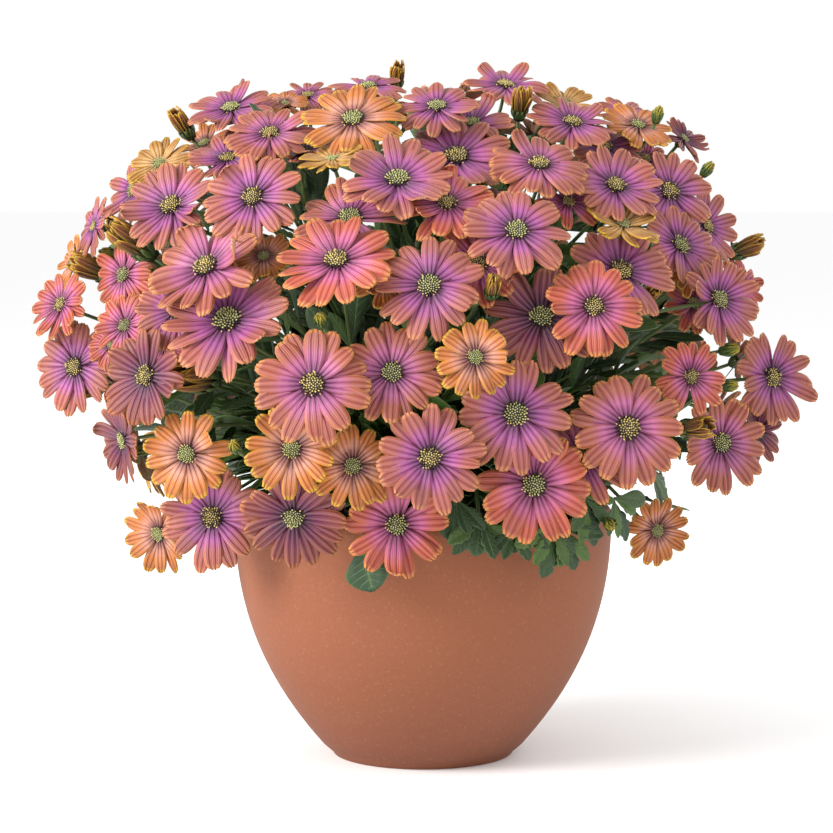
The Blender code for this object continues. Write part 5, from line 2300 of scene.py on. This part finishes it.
    def skirt_leaf(self, spray: Spray, draw: random.Random) -> Leaf:
        """Draws a low leaf that reaches out over the pot's rim.

        Args:
            spray: The outer spray that carries it.
            draw: The source of its place and shape.

        Returns:
            The leaf, wherever it happens to reach.
        """
        flat = Vector((spray.stem[3].x, spray.stem[3].y, 0.0)).normalized()
        aside = Vector((-flat.y, flat.x, 0.0))
        base = spray.point(draw.uniform(0.0, 0.95))
        heading = flat + aside * draw.gauss(0.0, self.skirt_spread)
        heading += UP * draw.uniform(-self.skirt_rise, self.skirt_rise)
        length = draw.uniform(*self.skirt_lengths)
        width = length * draw.uniform(*self.skirt_widths)
        face = UP + flat * draw.uniform(0.0, 0.5)
        tip = base + heading.normalized() * length
        return Leaf(base, tip, face, width, draw.uniform(*self.low_droops))

    def crown_leaf(self, spray: Spray, draw: random.Random) -> Leaf:
        """Draws a leaf on the foot of the stem.

        Args:
            spray: The spray that carries it.
            draw: The source of its place and shape.

        Returns:
            The leaf, wherever it happens to reach.
        """
        base = spray.stem[0].lerp(spray.stem[2], draw.random())
        heading = flat_direction(draw.uniform(0.0, TURN)) + UP * draw.uniform(*self.crown_rises)
        length = draw.uniform(*self.crown_lengths)
        width = length * draw.uniform(*self.crown_widths)
        tip = base + heading.normalized() * length
        return Leaf(base, tip, UP, width, draw.uniform(*self.low_droops))

    def small_leaves(self, spray: Spray, space: Space, draw: random.Random) -> list[Leaf]:
        """The leaves that the scene adds to a spray's own ones.

        Args:
            spray: The spray that carries them.
            space: What has been placed, of which the flower heads count.
            draw: The source of their places and shapes.

        Returns:
            Leaves along the stalks, over the rim, beside the hanging leaves and above the soil.
        """
        def clear(leaf: Leaf) -> bool:
            """Whether a leaf keeps clear of the pot and of all flower heads."""
            shape = PlainShapes.leaf(leaf, 0.0)
            return above_pot(shape[0]) and not space.meets(shape, heads_only=True)

        found = self.gather(
            self.extra_leaves, self.extra_tries, lambda: self.stalk_leaf(spray, draw), clear)
        if spray.stem[3].z <= self.low_fork:
            found += self.gather(
                self.skirt_leaves, self.skirt_tries, lambda: self.skirt_leaf(spray, draw), clear)
        found += self.tuft(spray, space, draw)
        return found + self.gather(
            self.crown_leaves, self.crown_tries, lambda: self.crown_leaf(spray, draw), within_pot)

    def tuft(self, spray: Spray, space: Space, draw: random.Random) -> list[Leaf]:
        """Draws smaller leaves beside each narrow leaf that hangs over the rim.

        Args:
            spray: The spray that carries them.
            space: What has been placed, of which the flower heads count.
            draw: The source of their places and shapes.

        Returns:
            The leaves that found room, in the plane of the leaf they stand beside.
        """
        found: list[Leaf] = []
        for leaf in spray.leaves:
            if not leaf.curve or leaf.width > self.tuft_width:
                continue
            along = (leaf.tip - leaf.base).normalized()
            out = (leaf.face - along * leaf.face.dot(along)).normalized()
            aside = out.cross(along)
            for turn in self.tuft_turns:
                angle = turn + draw.uniform(-0.15, 0.15)
                heading = along * math.cos(angle) + aside * math.sin(angle)
                heading += out * draw.uniform(0.0, 0.22)
                length = draw.uniform(*self.tuft_lengths)
                base = leaf.base + out * draw.uniform(*self.tuft_gaps)
                width = length * draw.uniform(*self.tuft_widths)
                tip = base + heading.normalized() * length
                beside = Leaf(base, tip, out, width, self.tuft_droop)
                if not space.meets(PlainShapes.leaf(beside, 0.0), heads_only=True):
                    found.append(beside)
        return found

    def build(
        self, spray: Spray, space: Space, finishes: Finishes, draw: random.Random
    ) -> bpy.types.Object:
        """Makes a spray's stem, stalks, cups and leaves.

        Args:
            spray: The spray.
            space: What the leaves keep clear of.
            finishes: The materials.
            draw: The source of small differences.

        Returns:
            The piece.
        """
        mesh = PieceMesh()
        for leaf in spray.leaves + self.small_leaves(spray, space, draw):
            self.leaf(mesh, leaf, draw)
        mesh.slot = 1
        for bloom in spray.blooms:
            self.cup(mesh, bloom, draw)
        mesh.thicken(self.thickness)
        radii = [STEM_RADIUS * taper for taper in self.stem_tapers]
        greening = blend(BARK, STALK_GREEN, 0.6)
        mesh.tube(spray.stem, radii, self.stem_sides, (BARK, BARK, greening, STALK_GREEN))
        for bloom in spray.blooms:
            shares = [k / self.stalk_stretches for k in range(self.stalk_stretches + 1)]
            radii = [STALK_RADIUS * (1.1 - 0.15 * share) for share in shares]
            greens = [blend(STALK_GREEN, STALK_FRESH, share) for share in shares]
            path = curve_points(bloom.curve, self.stalk_stretches)
            mesh.tube(path, radii, self.stalk_sides, greens)
        for leaf in spray.leaves:
            if leaf.curve:
                path = curve_points(leaf.curve, self.hanging_stretches)
                radii, greens = [STALK_RADIUS] * len(path), [STALK_GREEN] * len(path)
                mesh.tube(path, radii, self.stalk_sides, greens)
        return mesh.piece(f"greens_{spray.number:02d}", (finishes.leaf, finishes.stalk))


@dataclass
class Pot:
    """The turned clay pot."""

    steps: int = 144
    wall_rings: int = 26
    foot_rings: int = 3
    lip_rings: int = 8
    inner_rings: int = 12
    skin_gap: float = 0.00005
    inner_bevel_rise: float = 0.006
    inner_bevel: float = 0.004
    drill_sides: int = 32

    def profile(self) -> list[tuple[float, float]]:
        """The pot's section, from the middle of the underside round to the middle of the floor.

        Returns:
            The radius and the height of each point.
        """
        outer = []
        for k in range(self.foot_rings + 1):
            angle = math.pi / 2 * k / self.foot_rings
            radius = FOOT_RADIUS - FOOT_BEVEL * (1 - math.sin(angle))
            outer.append((radius, FOOT_BEVEL * (1 - math.cos(angle))))
        lip_height = POT_HEIGHT - WALL / 2
        for k in range(1, self.wall_rings):
            z = FOOT_BEVEL + (lip_height - FOOT_BEVEL) * k / self.wall_rings
            outer.append((pot_radius(z) - self.skin_gap, z))
        lip = POT_RADIUS - WALL / 2
        for k in range(self.lip_rings + 1):
            angle = math.pi * k / self.lip_rings
            height = lip_height + WALL / 2 * math.sin(angle)
            outer.append((lip + WALL / 2 * math.cos(angle), height))
        inner = []
        for k in range(1, self.inner_rings):
            z = lip_height + (FLOOR + self.inner_bevel_rise - lip_height) * k / self.inner_rings
            inner.append((pot_radius(z) - WALL, z))
        inner.append((pot_radius(FLOOR) - WALL - self.inner_bevel, FLOOR))
        return [(0.0, 0.0), (FOOT_RADIUS * 0.6, 0.0)] + outer + inner + [(0.0, FLOOR)]

    def build(self, finishes: Finishes) -> bpy.types.Object:
        """Turns the pot and drills its drain holes.

        Args:
            finishes: The materials.

        Returns:
            The piece.
        """
        bm = turned(self.profile(), self.steps)
        smoothed(bm)
        pot = linked("pot_shell", finished_mesh(bm, "pot_shell"))
        self.drill(pot)
        pot.data.materials.clear()
        pot.data.materials.append(finishes.terracotta)
        return pot

    def drill(self, pot: bpy.types.Object) -> None:
        """Cuts the drain holes through the pot's floor.

        Args:
            pot: The turned pot, which gets its new mesh.
        """
        bm = bmesh.new()
        for k in range(DRAINS):
            around = TURN * (k + 0.25) / DRAINS
            middle = (DRAIN_RING * math.cos(around), DRAIN_RING * math.sin(around), FLOOR / 2)
            bmesh.ops.create_cone(
                bm, cap_ends=True, segments=self.drill_sides, radius1=DRAIN_RADIUS,
                radius2=DRAIN_RADIUS, depth=3 * FLOOR, matrix=Matrix.Translation(middle),
            )
        cutter = linked("drill", finished_mesh(bm, "drill"))
        cut = pot.modifiers.new("drains", "BOOLEAN")
        cut.operation = "DIFFERENCE"
        cut.object = cutter
        cut.solver = "EXACT"
        graph = bpy.context.evaluated_depsgraph_get()
        drilled = bpy.data.meshes.new_from_object(pot.evaluated_get(graph))
        pot.modifiers.clear()
        pot.data = drilled
        bpy.data.objects.remove(cutter)


@dataclass
class Soil:
    """The compost in the pot, with crumbs on top."""

    rings: int = 22
    steps: int = 96
    wall_shares: tuple[float, ...] = (0.25, 0.45, 0.65, 0.85)
    floor_bevel: float = 0.004
    edge_drop: float = 0.001
    mounds: float = 0.0012
    mound_scale: float = 60.0
    lumps: float = 0.0006
    lump_scale: float = 260.0
    crumbs: int = 420
    crumb_radii: tuple[float, float] = (0.0007, 0.0022)
    crumb_roughness: float = 0.16
    crumb_reach: float = 0.96

    def profile(self, edge: float) -> list[tuple[float, float]]:
        """The outline of the soil's section.

        Args:
            edge: The radius of its top.

        Returns:
            Radius and height from the middle of the underside round to the middle of the top.
        """
        bottom = FLOOR + CLEARANCE
        points = [(0.0, bottom), (pot_radius(FLOOR) - WALL - self.floor_bevel - CLEARANCE, bottom)]
        for share in self.wall_shares:
            z = bottom + (SOIL_TOP - bottom) * share
            points.append((pot_radius(z) - WALL - 3 * CLEARANCE, z))
        points.append((edge, SOIL_TOP - self.edge_drop))
        for k in range(1, self.rings):
            points.append((edge * (1.0 - k / self.rings), SOIL_TOP))
        return points + [(0.0, SOIL_TOP)]

    def roughen(self, bm: bmesh.types.BMesh) -> None:
        """Raises and lowers the points of the soil's top."""
        for vertex in bm.verts:
            if vertex.co.z > SOIL_TOP - self.edge_drop / 2:
                mound = self.mounds * noise.noise(vertex.co * self.mound_scale)
                vertex.co.z += mound + self.lumps * noise.noise(vertex.co * self.lump_scale)

    def scatter(self, bm: bmesh.types.BMesh, edge: float, draw: random.Random) -> None:
        """Lays crumbs on the top.

        Args:
            bm: The soil's working mesh.
            edge: The radius of its top.
            draw: The source of their places, sizes and shapes.
        """
        for _ in range(self.crumbs):
            around = draw.uniform(0.0, TURN)
            out = edge * self.crumb_reach * math.sqrt(draw.random())
            size = draw.uniform(*self.crumb_radii)
            place = Matrix.Translation((out * math.cos(around), out * math.sin(around), SOIL_TOP))
            made = bmesh.ops.create_icosphere(bm, subdivisions=1, radius=size, matrix=place)
            for vertex in made["verts"]:
                shift = Vector((draw.gauss(0, 1), draw.gauss(0, 1), draw.gauss(0, 1)))
                vertex.co += shift * size * self.crumb_roughness

    def build(self, finishes: Finishes) -> bpy.types.Object:
        """Makes the soil as one closed body with a rough top and crumbs on it.

        Args:
            finishes: The materials.

        Returns:
            The piece.
        """
        edge = pot_radius(SOIL_TOP) - WALL - 2 * CLEARANCE
        bm = turned(self.profile(edge), self.steps)
        self.roughen(bm)
        self.scatter(bm, edge, random.Random(SEED + 7))
        smoothed(bm)
        mesh = finished_mesh(bm, "soil_bed")
        mesh.materials.append(finishes.compost)
        return linked("soil_bed", mesh)


@dataclass(frozen=True)
class Lamp:
    """A soft lamp: where it stands, how wide it is, in metres, its power in watts, its colour."""

    name: str
    place: Vector
    size: float
    power: float
    colour: Colour

    def build(self) -> None:
        """Sets the lamp up so that it looks at the plant."""
        data = bpy.data.lights.new(self.name, "AREA")
        data.size = self.size
        data.energy = self.power
        data.color = self.colour
        lamp = linked(self.name, data)
        lamp.location = self.place
        lamp.rotation_euler = (DOME_CENTRE - self.place).to_track_quat("-Z", "Y").to_euler()


@dataclass(frozen=True)
class Studio:
    """Camera, floor, lamps and a white surround."""

    sensor: float = 36.0
    near_clip: float = 0.05
    floor_size: float = 30.0
    key: Lamp = Lamp("key", Vector((-2.0, -1.1, 1.35)), 1.3, 82.0, (1.0, 1.0, 0.99))
    right_fill: Lamp = Lamp("right fill", Vector((1.5, -1.3, 1.9)), 1.6, 12.0, (1.0, 1.0, 1.0))
    rear_fill: Lamp = Lamp("rear fill", Vector((1.4, 1.9, 1.0)), 1.8, 16.0, (1.0, 1.0, 1.0))
    surround: float = 1.0

    def camera(self) -> None:
        """A camera that stands where the photograph's did."""
        distance = (AIM - VIEWER).length
        pixels = distance / METRES_PER_PIXEL
        data = bpy.data.cameras.new("camera")
        data.sensor_width = self.sensor
        data.lens = pixels / PICTURE_SIDE * self.sensor
        data.clip_start = self.near_clip
        camera = linked("camera", data)
        camera.location = VIEWER
        camera.rotation_euler = (AIM - VIEWER).to_track_quat("-Z", "Y").to_euler()
        bpy.context.scene.camera = camera

    def floor(self) -> None:
        """A plain pale floor."""
        bm = bmesh.new()
        bmesh.ops.create_grid(bm, x_segments=1, y_segments=1, size=self.floor_size)
        mesh = finished_mesh(bm, "floor")
        paint = Paint("floor", 0.9)
        paint.shader.inputs["Base Color"].default_value = (*FLOOR_WHITE, 1.0)
        mesh.materials.append(paint.material)
        floor = linked("floor", mesh)
        floor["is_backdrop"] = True

    def light(self) -> None:
        """A soft key from the upper left, weak fills at the right and behind, a white surround."""
        for lamp in (self.key, self.right_fill, self.rear_fill):
            lamp.build()
        world = bpy.data.worlds.new("surround")
        world.use_nodes = True
        background = world.node_tree.nodes["Background"]
        background.inputs["Color"].default_value = (1.0, 1.0, 1.0, 1.0)
        background.inputs["Strength"].default_value = self.surround
        bpy.context.scene.world = world
        bpy.context.scene.view_settings.view_transform = "Standard"

    def build(self) -> None:
        """Sets everything up."""
        self.camera()
        self.floor()
        self.light()


def main() -> None:
    """Builds the looks round the frame."""
    logging.basicConfig(level=logging.INFO, format="%(name)s: %(message)s")
    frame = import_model()
    cad_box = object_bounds()
    body = next(iter(frame["bodies"]))
    finishes = Finishes()
    plan = PlantPlan()
    blooms, greens = BloomWork(), GreenWork()
    draw = random.Random(SEED + 3)
    for spray in plan.sprays:
        node = f"spray_{spray.number:02d}"
        heads = blooms.build(spray, finishes, draw)
        leafage = greens.build(spray, plan.space, finishes, draw)
        for piece in (heads, leafage):
            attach(piece, body)
            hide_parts(node)
            LOG.info("%s: %d faces", piece.name, len(piece.data.polygons))
    pot = Pot().build(finishes)
    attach(pot, body)
    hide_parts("pot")
    soil = Soil().build(finishes)
    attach(soil, body)
    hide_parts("soil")
    Studio().build()
    visual_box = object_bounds()
    boxes = {"cad": [list(corner) for corner in cad_box], "visual": [list(corner) for corner in visual_box]}
    LOG.info("CAD box %s, visual box %s", boxes["cad"], boxes["visual"])


if __name__ == "__main__":
    main()
